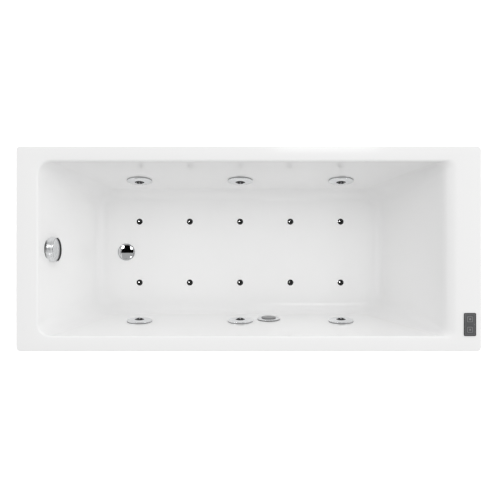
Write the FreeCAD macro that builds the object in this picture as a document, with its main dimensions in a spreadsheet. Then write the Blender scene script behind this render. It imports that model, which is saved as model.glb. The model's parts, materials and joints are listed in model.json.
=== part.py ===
import FreeCAD, Part

# A rectangular jetted bathtub. Millimetres, +Z up, +X towards the backrest, +Y towards the wall.
# The origin lies on the floor that the feet stand on, under the middle of the rim.

import math
import os

import Sketcher
from FreeCAD import Placement, Rotation, Vector

SIZES = {
    # rim and sheet
    "bath_length": 1700.0,
    "bath_width": 750.0,
    "rim_height": 590.0,
    "rim_corner": 15.0,
    "rim_edge": 3.0,
    "skirt_drop": 35.0,
    "acrylic": 5.0,
    "backing": 4.0,
    "backing_inset": 12.0,
    # basin: how far in from the rim's edge its flat walls start, and how far they lean in at the floor
    "floor_height": 185.0,
    "drain_ledge": 79.0,
    "head_ledge": 122.0,
    "side_ledge": 55.0,
    "drain_lean": 165.0,
    "head_lean": 200.0,
    "side_lean": 76.0,
    "floor_fillet": 55.0,
    "rim_roll": 10.0,
    "head_roll": 60.0,
    "floor_corner": 88.0,
    "drain_corner": 48.0,
    "head_corner": 24.0,
    # board and steel frame
    "board_thick": 18.0,
    "board_margin": 6.0,
    "tube_side": 30.0,
    "tube_wall": 2.0,
    "rail_end_gap": 30.0,
    "cross_inset": 30.0,
    "foot_end_inset": 250.0,
    "cross_inner_x": 200.0,
    "upright_thick": 4.0,
    "tray_thick": 3.0,
    "tray_inset": 75.0,
    "drain_tray_length": 165.0,
    "head_tray_length": 210.0,
    "foot_inset": 45.0,
    "rod_radius": 6.0,
    "rod_top": 175.0,
    "foot_pad_radius": 26.0,
    "foot_pad_height": 12.0,
    "lock_nut_radius": 11.0,
    "lock_nut_height": 8.0,
    # wall jets
    "jet_pitch": 393.0,
    "jet_middle_x": -33.5,
    "jet_level": 350.0,
    "jet_hole": 26.0,
    "jet_neck": 25.7,
    "jet_flange": 42.0,
    "jet_flange_thick": 2.0,
    "jet_mouth": 22.0,
    "jet_mouth_depth": 17.0,
    "jet_bore": 15.0,
    "jet_chamber": 24.0,
    "jet_depth": 64.0,
    "jet_tee_depth": 43.0,
    "jet_tee_radius": 20.0,
    "jet_tee_half": 38.0,
    "jet_socket_stop": 18.0,
    "jet_face_radius": 48.5,
    "jet_face_thick": 6.5,
    "jet_ball": 17.7,
    "jet_ball_back": 9.0,
    "jet_ball_sink": 2.5,
    "jet_way_radius": 4.6,
    "jet_way_ring": 8.4,
    "jet_ball_front": 11.0,
    "gasket_thick": 2.0,
    "gasket_radius": 36.0,
    "back_nut_radius": 38.0,
    "back_nut_height": 10.0,
    # suction fitting
    "suction_x": 78.0,
    "suction_level": 313.0,
    "suction_ring_radius": 44.5,
    "suction_ring_thick": 4.0,
    "suction_cap_radius": 28.5,
    "suction_cap_height": 8.0,
    "suction_chamber": 18.0,
    "suction_chamber_depth": 46.0,
    "suction_socket_radius": 24.0,
    "suction_socket_drop": 34.0,
    "suction_roof": 5.0,
    "suction_stem": 12.0,
    # floor air jets
    "air_pitch": 204.75,
    "air_middle_x": -35.7,
    "air_spread": 124.0,
    "air_cap_radius": 12.25,
    "air_cap_height": 6.0,
    "air_stem": 5.0,
    "air_sleeve": 8.0,
    "air_hole": 8.5,
    "air_pipe_radius": 10.0,
    "air_pipe_bore": 8.0,
    "air_pipe_drop": 15.0,
    "air_collar_radius": 13.5,
    "air_collar_length": 30.0,
    # water pipes
    "pipe_radius": 16.0,
    "pipe_bore": 13.0,
    "suction_pipe_radius": 20.0,
    "suction_pipe_bore": 17.0,
    "pipe_bend": 34.0,
    "slip": 0.1,
    # pump and motor
    "pump_inset": 135.0,
    "pump_y": -60.0,
    "volute_radius": 72.0,
    "volute_width": 62.0,
    "volute_wall": 6.0,
    "pump_outlet_shift": 50.0,
    "pump_outlet_radius": 22.0,
    "pump_outlet_rise": 80.0,
    "pump_inlet_radius": 25.0,
    "pump_inlet_length": 40.0,
    "impeller_radius": 56.0,
    "impeller_width": 26.0,
    "shaft_radius": 8.0,
    "running_gap": 0.05,
    "motor_radius": 60.0,
    "motor_rise": 3.0,
    "motor_length": 200.0,
    "motor_wall": 5.0,
    "rotor_core_radius": 30.0,
    "stator_gap": 1.0,
    "core_front": 46.0,
    "core_rear": 58.0,
    "front_wall": 26.0,
    "rear_wall": 10.0,
    "rear_carrier": 18.0,
    "bearing_relief": 4.0,
    "bearing_radius": 20.0,
    "bearing_width": 14.0,
    "fan_radius": 50.0,
    "fan_width": 16.0,
    "fan_cover_length": 40.0,
    "fan_cover_wall": 2.0,
    "mount_height": 16.0,
    "mount_side": 30.0,
    "saddle_spread": 35.0,
    "joint_depth": 20.0,
    "saddle_front": 40.0,
    "saddle_rear": 150.0,
    "tee_wall": 4.0,
    "tee_half": 40.0,
    "elbow_stub": 12.0,
    # blower
    "blower_inset": 105.0,
    "blower_radius": 70.0,
    "blower_height": 70.0,
    "blower_wall": 3.0,
    "blower_impeller_radius": 60.0,
    "blower_impeller_height": 28.0,
    "blower_shaft": 5.0,
    "blower_motor_radius": 40.0,
    "blower_motor_height": 55.0,
    "blower_outlet_rise": 32.0,
    "blower_outlet_reach": 20.0,
    "air_joint": 15.0,
    "air_turn": 22.0,
    "air_far_end": 56.0,
    "air_near_end": 40.0,
    # control box
    "control_end_inset": 25.0,
    "control_side_inset": 85.0,
    "control_length": 130.0,
    "control_width": 190.0,
    "control_height": 150.0,
    "control_wall": 3.0,
    "gland_radius": 11.0,
    "gland_bore": 5.0,
    "gland_length": 16.0,
    # keypad
    "keypad_end_inset": 42.3,
    "keypad_side_inset": 98.4,
    "keypad_length": 84.0,
    "keypad_width": 44.5,
    "keypad_thick": 2.5,
    "keypad_corner": 4.0,
    "keypad_case_margin": 4.5,
    "keypad_case_depth": 24.0,
    "keypad_wall": 2.0,
    "button_side": 22.0,
    "button_corner": 4.0,
    "button_spread": 19.2,
    "button_gap": 0.3,
    "button_proud": 0.8,
    "button_depth": 6.0,
    # overflow
    "overflow_below_rim": 85.0,
    "overflow_tilt": 10.0,
    "overflow_neck": 19.5,
    "overflow_hole": 22.5,
    "overflow_chamber": 26.0,
    "overflow_depth": 62.0,
    "overflow_outlet_depth": 38.44,
    "rosette_radius": 45.0,
    "rosette_front": 12.5,
    "rosette_plate": 5.5,
    "overflow_inlet_ring": 12.5,
    "overflow_inlet_hole": 4.0,
    "knob_radius": 44.0,
    "knob_standoff": 2.5,
    "knob_thick": 10.5,
    "knob_notch": 18.0,
    "knob_spindle": 5.0,
    "overflow_socket_radius": 20.0,
    "overflow_socket_drop": 55.0,
    "overflow_run_level": 75.0,
    # drain
    "drain_inset": 107.0,
    "drain_flange_radius": 35.0,
    "drain_flange_thick": 3.0,
    "drain_neck": 24.0,
    "drain_hole": 24.5,
    "drain_bore": 20.0,
    "drain_neck_length": 36.0,
    "plug_radius": 31.5,
    "plug_height": 8.0,
    "plug_edge": 2.5,
    "plug_stem": 4.0,
    "plug_stem_length": 62.0,
    "plug_seal_ring": 26.0,
    "plug_seal_thick": 1.4,
    "guide_hub": 8.0,
    "waste_radius": 32.0,
    "waste_wall": 3.0,
    "waste_bottom": 52.0,
    "trap_level": 100.0,
    "trap_bottom": 38.0,
    "trap_radius": 21.5,
    "trap_bore": 18.0,
    "trap_bend": 30.0,
    "trap_socket": 26.0,
    "trap_reach": 44.0,
    "trap_fall": 45.0,
    "trap_run": 70.0,
    "outlet_radius": 20.0,
    "outlet_length": 60.0,
    "outlet_end": 330.0,
    "cable_radius": 3.0,
    "cable_bend": 22.0,
    "cable_side": 60.0,
}

FAR_OUT = 30.0       # how far a drill overshoots the sheet that it goes through
LOFT_STEPS = 5       # bands that make up a rounded edge of the basin
FULL_TURN = 360.0

doc = FreeCAD.newDocument("jetted_bathtub")
sheet = doc.addObject("Spreadsheet::Sheet", "sizes")
nodes = {}


# ---------------------------------------------------------------- sizes

class Size(float):
    """A length from the sheet, or worked out from such lengths, with the formula that binds it."""

    def __new__(cls, number, formula):
        made = float.__new__(cls, number)
        made.formula = formula
        return made

    def __add__(self, other):
        return Size(float(self) + float(other), f"({self.formula} + {formula_of(other)})")

    def __radd__(self, other):
        return Size(float(other) + float(self), f"({formula_of(other)} + {self.formula})")

    def __sub__(self, other):
        return Size(float(self) - float(other), f"({self.formula} - {formula_of(other)})")

    def __rsub__(self, other):
        return Size(float(other) - float(self), f"({formula_of(other)} - {self.formula})")

    def __mul__(self, other):
        return Size(float(self) * float(other), f"({self.formula} * {formula_of(other)})")

    __rmul__ = __mul__

    def __truediv__(self, other):
        return Size(float(self) / float(other), f"({self.formula} / {formula_of(other)})")

    def __neg__(self):
        return Size(-float(self), f"(0 - {self.formula})")


def formula_of(length):
    """A length as text for a formula."""
    if isinstance(length, Size):
        return length.formula
    return f"{float(length):.9f}"


class Sheet:
    """The sheet's sizes by name."""


mm = Sheet()
for row, (alias, number) in enumerate(SIZES.items(), start=1):
    sheet.set(f"A{row}", alias)
    sheet.set(f"B{row}", str(number))
    sheet.setAlias(f"B{row}", alias)
    setattr(mm, alias, Size(number, f"sizes.{alias}"))
doc.recompute()

# lines and places that follow the rim's outline
half_length = mm.bath_length / 2
half_width = mm.bath_width / 2
mm.rim_drain_line = half_length - mm.drain_ledge
mm.rim_head_line = half_length - mm.head_ledge
mm.rim_side_line = half_width - mm.side_ledge
mm.floor_drain_line = mm.rim_drain_line - mm.drain_lean
mm.floor_head_line = mm.rim_head_line - mm.head_lean
mm.floor_side_line = mm.rim_side_line - mm.side_lean
mm.cross_half = half_width - mm.cross_inset
mm.cross_outer_x = half_length - mm.foot_end_inset
mm.foot_spread = mm.cross_half - mm.foot_inset
mm.tray_half_width = half_width - mm.tray_inset
mm.drain_tray_edge = half_length - mm.rail_end_gap - mm.drain_tray_length
mm.head_tray_edge = half_length - mm.rail_end_gap - mm.head_tray_length
mm.pump_x = half_length - mm.pump_inset
mm.blower_x = mm.blower_inset - half_length
mm.control_x = mm.control_end_inset - half_length
mm.control_y = mm.control_side_inset - half_width
mm.keypad_x = half_length - mm.keypad_end_inset
mm.keypad_y = mm.keypad_side_inset - half_width
mm.overflow_level = mm.rim_height - mm.overflow_below_rim
mm.drain_x = mm.drain_inset - mm.floor_drain_line


# ---------------------------------------------------------------- small tools

def bind(piece, name, length):
    """Give a property its number, and its formula where it has one."""
    setattr(piece, name, float(length))
    if isinstance(length, Size):
        piece.setExpression(name, length.formula)


def place(piece, spot):
    """Put a piece at a placement, or at an (x, y, z) whose formulas then hold it there."""
    if isinstance(spot, Placement):
        piece.Placement = spot
        return piece
    piece.Placement.Base = Vector(*[float(value) for value in spot])
    for letter, value in zip("xyz", spot):
        if isinstance(value, Size):
            piece.setExpression(f"Placement.Base.{letter}", value.formula)
    return piece


def box(name, length, width, height, spot):
    """A box from its lowest corner."""
    piece = doc.addObject("Part::Box", name)
    bind(piece, "Length", length)
    bind(piece, "Width", width)
    bind(piece, "Height", height)
    return place(piece, spot)


def cylinder(name, radius, height, spot):
    """A cylinder that rises along its own Z axis from the spot."""
    piece = doc.addObject("Part::Cylinder", name)
    bind(piece, "Radius", radius)
    bind(piece, "Height", height)
    return place(piece, spot)


def hexagon(name, radius, height, spot):
    """A six-sided prism that rises along its own Z axis."""
    piece = doc.addObject("Part::Prism", name)
    piece.Polygon = 6
    bind(piece, "Circumradius", radius)
    bind(piece, "Height", height)
    return place(piece, spot)


def joined(name, pieces):
    """One solid made of several that overlap."""
    piece = doc.addObject("Part::MultiFuse", name)
    piece.Shapes = pieces
    piece.Refine = False
    return piece


def group(name, pieces):
    """Several separate solids kept together."""
    piece = doc.addObject("Part::Compound", name)
    piece.Links = pieces
    return piece


def cut(name, base, tools):
    """A piece with the tools' space taken out of it."""
    piece = doc.addObject("Part::Cut", name)
    piece.Refine = False
    piece.Base = base
    piece.Tool = group(f"{name}_tools", tools) if len(tools) > 1 else tools[0]
    return piece


def node(name, piece):
    """Name a finished sub-part."""
    piece.Label = name
    nodes[name] = piece
    return piece


def origin_plane(body, role):
    """One of a body's own base planes."""
    return [plane for plane in body.Origin.OriginFeatures if plane.Role == role][0]


def fix_point(sketch, line, end, across, up):
    """Hold a sketch point at its distances from the sketch's axes."""
    for kind, axis, length in (("DistanceX", -2, across), ("DistanceY", -1, up)):
        if abs(float(length)) < 1e-9:
            sketch.addConstraint(Sketcher.Constraint("PointOnObject", line, end, axis))
            continue
        number = sketch.addConstraint(Sketcher.Constraint(kind, -1, 1, line, end, float(length)))
        if isinstance(length, Size):
            sketch.setExpression(f"Constraints[{number}]", length.formula)


def outline(sketch, corners):
    """Draw a closed outline through (across, up) corners. A third entry is the radius of the arc
    that ends at that corner, and the arc bulges to the right of its way when the radius is positive."""
    count = len(corners)
    for index in range(count):
        start = corners[index - 1]
        end = corners[index]
        first = Vector(float(start[0]), float(start[1]), 0)
        last = Vector(float(end[0]), float(end[1]), 0)
        if len(end) == 2:
            sketch.addGeometry(Part.LineSegment(first, last), False)
            continue
        way = last - first
        half = way.Length / 2
        radius = abs(float(end[2]))
        sagitta = radius - math.sqrt(max(radius ** 2 - half ** 2, 0))
        right = Vector(way.y, -way.x, 0).normalize()
        side = 1 if float(end[2]) > 0 else -1
        middle = first + way * 0.5 + right * (sagitta * side)
        sketch.addGeometry(Part.Arc(first, middle, last), False)
    ends = [curve_ends(sketch.Geometry[index], corners[index - 1]) for index in range(count)]
    for index, corner in enumerate(corners):
        before = (index - 1) % count
        sketch.addConstraint(Sketcher.Constraint("Coincident", before, ends[before][1], index, ends[index][0]))
        fix_point(sketch, index, ends[index][1], corner[0], corner[1])
        if len(corner) == 3:
            radius = corner[2] if float(corner[2]) > 0 else -corner[2]
            number = sketch.addConstraint(Sketcher.Constraint("Radius", index, float(radius)))
            if isinstance(radius, Size):
                sketch.setExpression(f"Constraints[{number}]", radius.formula)


def curve_ends(geometry, start):
    """Which of a curve's two ends lies at the outline's start of it, and which at its end."""
    near = (geometry.StartPoint - Vector(float(start[0]), float(start[1]), 0)).Length < 1e-6
    return (1, 2) if near else (2, 1)


def turned(name, corners, spot):
    """A turned piece: its half section, as (radius, height) corners, goes round the Z axis."""
    body = doc.addObject("PartDesign::Body", name)
    sketch = body.newObject("Sketcher::SketchObject", f"{name}_section")
    sketch.AttachmentSupport = (origin_plane(body, "XZ_Plane"), [""])
    sketch.MapMode = "FlatFace"
    outline(sketch, corners)
    turn = body.newObject("PartDesign::Revolution", f"{name}_turn")
    turn.Profile = sketch
    turn.ReferenceAxis = (sketch, ["V_Axis"])
    turn.Angle = FULL_TURN
    return place(body, spot)


def tube(name, outer, inner, bottom, top, spot):
    """A turned ring between two heights."""
    return turned(name, [(inner, bottom), (outer, bottom), (outer, top), (inner, top)], spot)


def turned_to(base, z_axis, x_axis):
    """A placement whose own Z and X axes point along the two given directions."""
    y_axis = z_axis.cross(x_axis)
    return Placement(base, Rotation(x_axis, y_axis, z_axis, "ZXY"))


def beside(spot, across, up, out):
    """A placement moved within its own axes."""
    return spot.multiply(Placement(Vector(float(across), float(up), float(out)), Rotation()))


def pipe_path(points, bend):
    """Straight runs joined by tangent arcs of one radius."""
    corners = [Vector(*[float(value) for value in point]) for point in points]
    edges = []
    last = corners[0]
    for before, corner, after in zip(corners, corners[1:], corners[2:]):
        arriving = (corner - before).normalize()
        leaving = (after - corner).normalize()
        half_turn = arriving.getAngle(leaving) / 2
        reach = float(bend) * math.tan(half_turn)
        arc_start = corner - arriving * reach
        arc_end = corner + leaving * reach
        inward = (leaving - arriving).normalize()
        middle = corner + inward * (float(bend) / math.cos(half_turn) - float(bend))
        edges.append(Part.LineSegment(last, arc_start).toShape())
        edges.append(Part.Arc(arc_start, middle, arc_end).toShape())
        last = arc_end
    edges.append(Part.LineSegment(last, corners[-1]).toShape())
    return Part.Wire(edges)


def swept(points, bend, radius):
    """A round bar along a path, compared with its section times its length."""
    path = pipe_path(points, bend)
    start = Vector(*[float(value) for value in points[0]])
    ahead = Vector(*[float(value) for value in points[1]]) - start
    ring = Part.Wire([Part.Circle(start, ahead, float(radius)).toShape()])
    bar = path.makePipeShell([ring], True, False)
    wanted = math.pi * float(radius) ** 2 * path.Length
    if abs(bar.Volume / wanted - 1) > 0.02:
        raise RuntimeError(f"a pipe has volume {bar.Volume:.0f}, not {wanted:.0f}")
    return bar


def pipe_shape(points, bend, radius, bore):
    """A pipe along a path."""
    return swept(points, bend, radius).cut(swept(points, bend, bore))


def feature(name, shape):
    """A shape made from the sheet's sizes, kept as an object."""
    piece = doc.addObject("Part::Feature", name)
    piece.Shape = shape
    return piece


# ---------------------------------------------------------------- the basin's walls

class Wall:
    """One flat basin wall: how far out its plane meets the floor and the rim, and its edge's roll."""

    def __init__(self, floor_line, rim_line, roll):
        self.floor_line = float(floor_line)
        self.roll = float(roll)
        rise = float(mm.rim_height) - float(mm.floor_height)
        self.draft = math.atan2(float(rim_line) - float(floor_line), rise)

    def plane(self, level, depth):
        """How far out the wall's plane is at a level, depth below the inner surface."""
        lift = level - float(mm.floor_height)
        return self.floor_line + lift * math.tan(self.draft) + depth / math.cos(self.draft)

    def reach(self, level, depth=0.0):
        """How far out the surface is at a level, with the floor's fillet and the rim's roll."""
        low = float(mm.floor_height) - depth
        high = float(mm.rim_height) - depth
        fillet = float(mm.floor_fillet) + depth
        roll = max(self.roll - depth, 0.5)
        slope = math.cos(self.draft)
        if level < low + fillet * (1 - math.sin(self.draft)):
            centre = self.plane(low + fillet, depth) - fillet / slope
            return centre + math.sqrt(max(fillet ** 2 - (low + fillet - level) ** 2, 0))
        if level > high - roll * (1 - math.sin(self.draft)):
            centre = self.plane(high - roll, depth) + roll / slope
            return centre - math.sqrt(max(roll ** 2 - (level - high + roll) ** 2, 0))
        return self.plane(level, depth)

    def bend_levels(self, depth):
        """The levels that follow the wall's two rounded edges in even turns."""
        low = float(mm.floor_height) - depth
        high = float(mm.rim_height) - depth
        fillet = float(mm.floor_fillet) + depth
        roll = max(self.roll - depth, 0.5)
        levels = []
        for step in range(LOFT_STEPS + 1):
            turn = (math.pi / 2 - self.draft) * step / LOFT_STEPS
            levels.append(low + fillet * (1 - math.cos(turn)))
            levels.append(high - roll * (1 - math.cos(turn)))
        return levels


drain_wall = Wall(mm.floor_drain_line, mm.rim_drain_line, mm.rim_roll)
head_wall = Wall(mm.floor_head_line, mm.rim_head_line, mm.head_roll)
side_wall = Wall(mm.floor_side_line, mm.rim_side_line, mm.rim_roll)


def rounded_wire(low_x, high_x, half_width, low_corner, high_corner, level):
    """A level rectangle with rounded corners, drawn from its low-x, low-y corner round."""
    ends = (
        (high_x, -half_width, high_corner, 270),
        (high_x, half_width, high_corner, 0),
        (low_x, half_width, low_corner, 90),
        (low_x, -half_width, low_corner, 180),
    )
    arcs = []
    for x, y, corner, angle in ends:
        centre = Vector(x - math.copysign(corner, x), y - math.copysign(corner, y), level)
        sweep = [math.radians(angle + turn) for turn in (0, 45, 90)]
        rim = [centre + Vector(math.cos(a), math.sin(a), 0) * corner for a in sweep]
        arcs.append(rim)
    edges = []
    for index, rim in enumerate(arcs):
        edges.append(Part.LineSegment(arcs[index - 1][2], rim[0]).toShape())
        edges.append(Part.Arc(*rim).toShape())
    return Part.Wire(edges)


def corner_radius(level, depth, rim_corner):
    """The basin's plan corner at a level, which tightens from the floor up to the rim."""
    rise = float(mm.rim_height) - float(mm.floor_height)
    share = (level - float(mm.floor_height)) / rise
    radius = float(mm.floor_corner) * (1 - share) + float(rim_corner) * share
    return radius + depth - (side_wall.plane(level, depth) - side_wall.reach(level, depth))


def basin_shape(depth):
    """The space inside the basin, out to depth below its inner surface."""
    levels = set()
    for wall in (drain_wall, head_wall, side_wall):
        levels.update(round(level, 4) for level in wall.bend_levels(depth))
    ordered = sorted(levels)
    kept = [ordered[0]]
    for level in ordered[1:-1]:
        if level - kept[-1] > 0.35 and ordered[-1] - level > 0.12:
            kept.append(level)
    kept.append(ordered[-1])
    sections = []
    for level in kept:
        sections.append(rounded_wire(
            -drain_wall.reach(level, depth), head_wall.reach(level, depth),
            side_wall.reach(level, depth), corner_radius(level, depth, mm.drain_corner),
            corner_radius(level, depth, mm.head_corner), level))
    return Part.makeLoft(sections, True, True)


def rounded_slab(inset, corner, bottom, top):
    """A slab with the rim's outline, drawn in all round."""
    half_length = float(mm.bath_length) / 2 - inset
    half_width = float(mm.bath_width) / 2 - inset
    wire = rounded_wire(-half_length, half_length, half_width, corner, corner, bottom)
    return Part.Face(wire).extrude(Vector(0, 0, top - bottom))


def sheet_layer(outer_depth, inner_depth, inset, edge):
    """One layer of the shell: a flat rim with the basin hanging from it."""
    top = float(mm.rim_height) - inner_depth
    bottom = float(mm.rim_height) - outer_depth
    slab = rounded_slab(inset, float(mm.rim_corner), bottom, top)
    if edge:
        rim_lines = [line for line in slab.Edges if min(point.z for point in line.discretize(2)) > top - 0.01]
        slab = slab.makeFillet(edge, rim_lines)
    return slab.fuse(basin_shape(outer_depth)).cut(basin_shape(inner_depth))


def wall_spot(side, x, level):
    """A fitting's placement on a long wall: its Z axis points into the basin and its Y axis up."""
    slope = side_wall.draft
    inward = Vector(0, -side * math.cos(slope), math.sin(slope))
    return turned_to(Vector(float(x), side * side_wall.reach(float(level)), float(level)),
                     inward, Vector(side, 0, 0))


def drain_wall_spot(level):
    """The overflow's placement on the drain-end wall."""
    inward = Vector(math.cos(drain_wall.draft), 0, math.sin(drain_wall.draft))
    return turned_to(Vector(-drain_wall.reach(float(level)), 0, float(level)), inward, Vector(0, 1, 0))


UPRIGHT = Rotation()
ALONG_X = Rotation(Vector(0, 1, 0), 90)
ALONG_MINUS_X = Rotation(Vector(0, 1, 0), -90)

wall_thick = mm.acrylic + mm.backing
backing_bottom = mm.floor_height - wall_thick
board_bottom = backing_bottom - mm.board_thick
rail_bottom = board_bottom - mm.tube_side
cross_bottom = rail_bottom - mm.tube_side
tray_top = board_bottom + mm.tray_thick
mm.pump_level = tray_top + mm.mount_height + mm.motor_rise + mm.motor_radius

def overflow_axis_spot(spot):
    """The overflow's own axis, which a wedge under its rosette tips below the wall's normal."""
    tilt = math.radians(float(mm.overflow_tilt))
    return turned_to(spot.Base, Vector(math.cos(tilt), 0, math.sin(tilt)), Vector(0, 1, 0))


jet_spots = [wall_spot(side, mm.jet_middle_x + mm.jet_pitch * step, mm.jet_level)
             for side in (1, -1) for step in (-1, 0, 1)]
suction_spot = wall_spot(-1, mm.suction_x, mm.suction_level)
overflow_hole_spot = drain_wall_spot(mm.overflow_level)
overflow_spot = overflow_axis_spot(overflow_hole_spot)
overflow_lean = drain_wall.draft - math.radians(float(mm.overflow_tilt))
air_spots = [(mm.air_middle_x + mm.air_pitch * step, side * mm.air_spread, mm.floor_height)
             for side in (1, -1) for step in (-2, -1, 0, 1, 2)]
drain_spot = (mm.drain_x, 0, mm.floor_height)
foot_spots = [(end * mm.cross_outer_x, side * mm.foot_spread, 0)
              for end in (-1, 1) for side in (-1, 1)]


# ---------------------------------------------------------------- shell, board and frame

def rim_opening(name, bottom, top):
    """The keypad's hole through the rim."""
    length = mm.keypad_length - mm.keypad_case_margin * 2 + mm.button_gap * 2
    width = mm.keypad_width - mm.keypad_case_margin * 2 + mm.button_gap * 2
    return box(name, width, length, top - bottom,
               (mm.keypad_x - width / 2, mm.keypad_y - length / 2, bottom))


def shell_drills(layer, deep):
    """The holes for every fitting, through one layer of the shell."""
    drills = []
    for index, spot in enumerate(jet_spots + [suction_spot]):
        drills.append(cylinder(f"{layer}_jet_drill_{index}", mm.jet_hole, FAR_OUT * 2,
                               beside(spot, 0, 0, -FAR_OUT)))
    drills.append(cylinder(f"{layer}_overflow_drill", mm.overflow_hole, FAR_OUT * 2,
                           beside(overflow_hole_spot, 0, 0, -FAR_OUT)))
    for index, (x, y, z) in enumerate(air_spots):
        drills.append(cylinder(f"{layer}_air_drill_{index}", mm.air_hole, FAR_OUT * 2, (x, y, z - FAR_OUT)))
    drills.append(cylinder(f"{layer}_drain_drill", mm.drain_hole, FAR_OUT * 2,
                           (mm.drain_x, 0, mm.floor_height - FAR_OUT)))
    drills.append(rim_opening(f"{layer}_keypad_drill", mm.rim_height - deep, mm.rim_height + 1))
    return drills


def make_shell():
    acrylic = float(mm.acrylic)
    layer = sheet_layer(acrylic, 0.0, 0.0, float(mm.rim_edge))
    skirt_bottom = float(mm.rim_height) - float(mm.skirt_drop)
    skirt_top = float(mm.rim_height) - acrylic
    corner = float(mm.rim_corner)
    skirt = rounded_slab(0.0, corner, skirt_bottom, skirt_top)
    hollow = rounded_slab(acrylic, corner - acrylic, skirt_bottom, skirt_top)
    blank = feature("shell_blank", layer.fuse(skirt.cut(hollow)).removeSplitter())
    node("acrylic_shell", cut("acrylic_shell", blank, shell_drills("shell", mm.skirt_drop)))


def make_backing():
    depth = float(mm.acrylic + mm.backing)
    layer = sheet_layer(depth, float(mm.acrylic), float(mm.backing_inset), 0.0)
    blank = feature("backing_blank", layer.removeSplitter())
    node("fibreglass_backing", cut("fibreglass_backing", blank, shell_drills("backing", mm.skirt_drop)))


def flat_floor(wall):
    """How far out the floor stays flat under a wall."""
    return wall.reach(float(mm.floor_height))


def board_half_width():
    return flat_floor(side_wall) - mm.board_margin


def make_board():
    low_x = -flat_floor(drain_wall) + mm.board_margin
    high_x = flat_floor(head_wall) - mm.board_margin
    half_width = board_half_width()
    blank = box("board_blank", high_x - low_x, half_width * 2, mm.board_thick,
                (low_x, -half_width, board_bottom))
    drills = [cylinder("board_drain_drill", mm.waste_radius + 2, FAR_OUT * 2,
                       (mm.drain_x, 0, board_bottom - FAR_OUT / 2))]
    for index, (x, y, z) in enumerate(air_spots):
        drills.append(cylinder(f"board_air_drill_{index}", mm.air_hole, FAR_OUT * 2,
                               (x, y, board_bottom - FAR_OUT / 2)))
    node("base_board", cut("base_board", blank, drills))


def square_tube(name, length, spot, along_x):
    """A square steel tube with open ends, from its lowest corner."""
    side = mm.tube_side
    hollow = side - mm.tube_wall * 2
    x, y, z = spot
    if along_x:
        outer = box(f"{name}_outer", length, side, side, spot)
        inner = box(f"{name}_inner", length, hollow, hollow, (x, y + mm.tube_wall, z + mm.tube_wall))
    else:
        outer = box(f"{name}_outer", side, length, side, spot)
        inner = box(f"{name}_inner", hollow, length, hollow, (x + mm.tube_wall, y, z + mm.tube_wall))
    return outer, inner


def make_rails():
    rails = []
    length = mm.bath_length - mm.rail_end_gap * 2
    spread = board_half_width() - mm.tube_side / 2
    for index, side in enumerate((-1, 1)):
        spot = (-length / 2, side * spread - mm.tube_side / 2, rail_bottom)
        outer, inner = square_tube(f"rail_{index}", length, spot, True)
        rails.append(cut(f"rail_{index}", outer, [inner]))
    node("frame_side_rails", group("frame_side_rails", rails))


def make_cross_members():
    members = []
    stations = (-mm.cross_outer_x, -mm.cross_inner_x, mm.cross_inner_x, mm.cross_outer_x)
    for index, x in enumerate(stations):
        spot = (x - mm.tube_side / 2, -mm.cross_half, cross_bottom)
        outer, inner = square_tube(f"cross_{index}", mm.cross_half * 2, spot, False)
        tools = [inner]
        if abs(abs(float(x)) - float(mm.cross_outer_x)) < 1e-6:
            for side in (-1, 1):
                tools.append(cylinder(f"cross_{index}_rod_drill_{side + 1}", mm.rod_radius + mm.running_gap * 4,
                                      FAR_OUT * 2, (x, side * mm.foot_spread, cross_bottom - FAR_OUT / 2)))
        members.append(cut(f"cross_{index}", outer, tools))
    node("frame_cross_members", group("frame_cross_members", members))


def make_uprights():
    """Flat bars that carry the rim from the ends of the outer cross members."""
    bars = []
    top = mm.rim_height - wall_thick
    for index, (x, y, z) in enumerate(foot_spots):
        side = 1 if float(y) > 0 else -1
        inner_y = side * (mm.cross_half + mm.upright_thick / 2) - mm.upright_thick / 2
        bars.append(box(f"upright_{index}", mm.tube_side, mm.upright_thick, top - cross_bottom,
                        (x - mm.tube_side / 2, inner_y, cross_bottom)))
    node("rim_uprights", group("rim_uprights", bars))


def make_trays():
    """Two steel plates on the rails' ends, for the pump and for the blower and control box."""
    end = mm.bath_length / 2 - mm.rail_end_gap
    drain_tray = box("drain_tray_blank", end - mm.drain_tray_edge, mm.tray_half_width * 2, mm.tray_thick,
                     (-end, -mm.tray_half_width, board_bottom))
    holes = [
        cylinder("tray_pipe_hole", mm.pipe_radius + 3, FAR_OUT, overflow_drop_spot(0, board_bottom - 10)),
        cylinder("tray_cable_hole", mm.cable_radius + 3, FAR_OUT,
                 overflow_drop_spot(-mm.cable_side, board_bottom - 10)),
    ]
    head_tray = box("head_tray", end - mm.head_tray_edge, mm.tray_half_width * 2, mm.tray_thick,
                    (mm.head_tray_edge, -mm.tray_half_width, board_bottom))
    node("equipment_trays", group("equipment_trays", [cut("drain_tray", drain_tray, holes), head_tray]))


def make_feet():
    nuts = []
    for index, spot in enumerate(foot_spots, start=1):
        x, y, z = spot
        pad = mm.foot_pad_radius
        foot = turned(f"foot_{index}", [
            (0, 0), (pad, 0), (pad, mm.foot_pad_height / 3),
            (mm.rod_radius * 2, mm.foot_pad_height), (mm.rod_radius, mm.foot_pad_height),
            (mm.rod_radius, mm.rod_top), (0, mm.rod_top)], spot)
        node(f"levelling_foot_{index}", foot)
        levels = (cross_bottom - mm.lock_nut_height, rail_bottom)
        for which, level in enumerate(levels):
            blank = hexagon(f"lock_nut_{index}_{which}_blank", mm.lock_nut_radius, mm.lock_nut_height,
                            (x, y, level))
            bore = cylinder(f"lock_nut_{index}_{which}_bore", mm.rod_radius + mm.running_gap,
                            FAR_OUT, (x, y, level - FAR_OUT / 3))
            nuts.append(cut(f"lock_nut_{index}_{which}", blank, [bore]))
    node("foot_lock_nuts", group("foot_lock_nuts", nuts))


# ---------------------------------------------------------------- wall jets and suction

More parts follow.
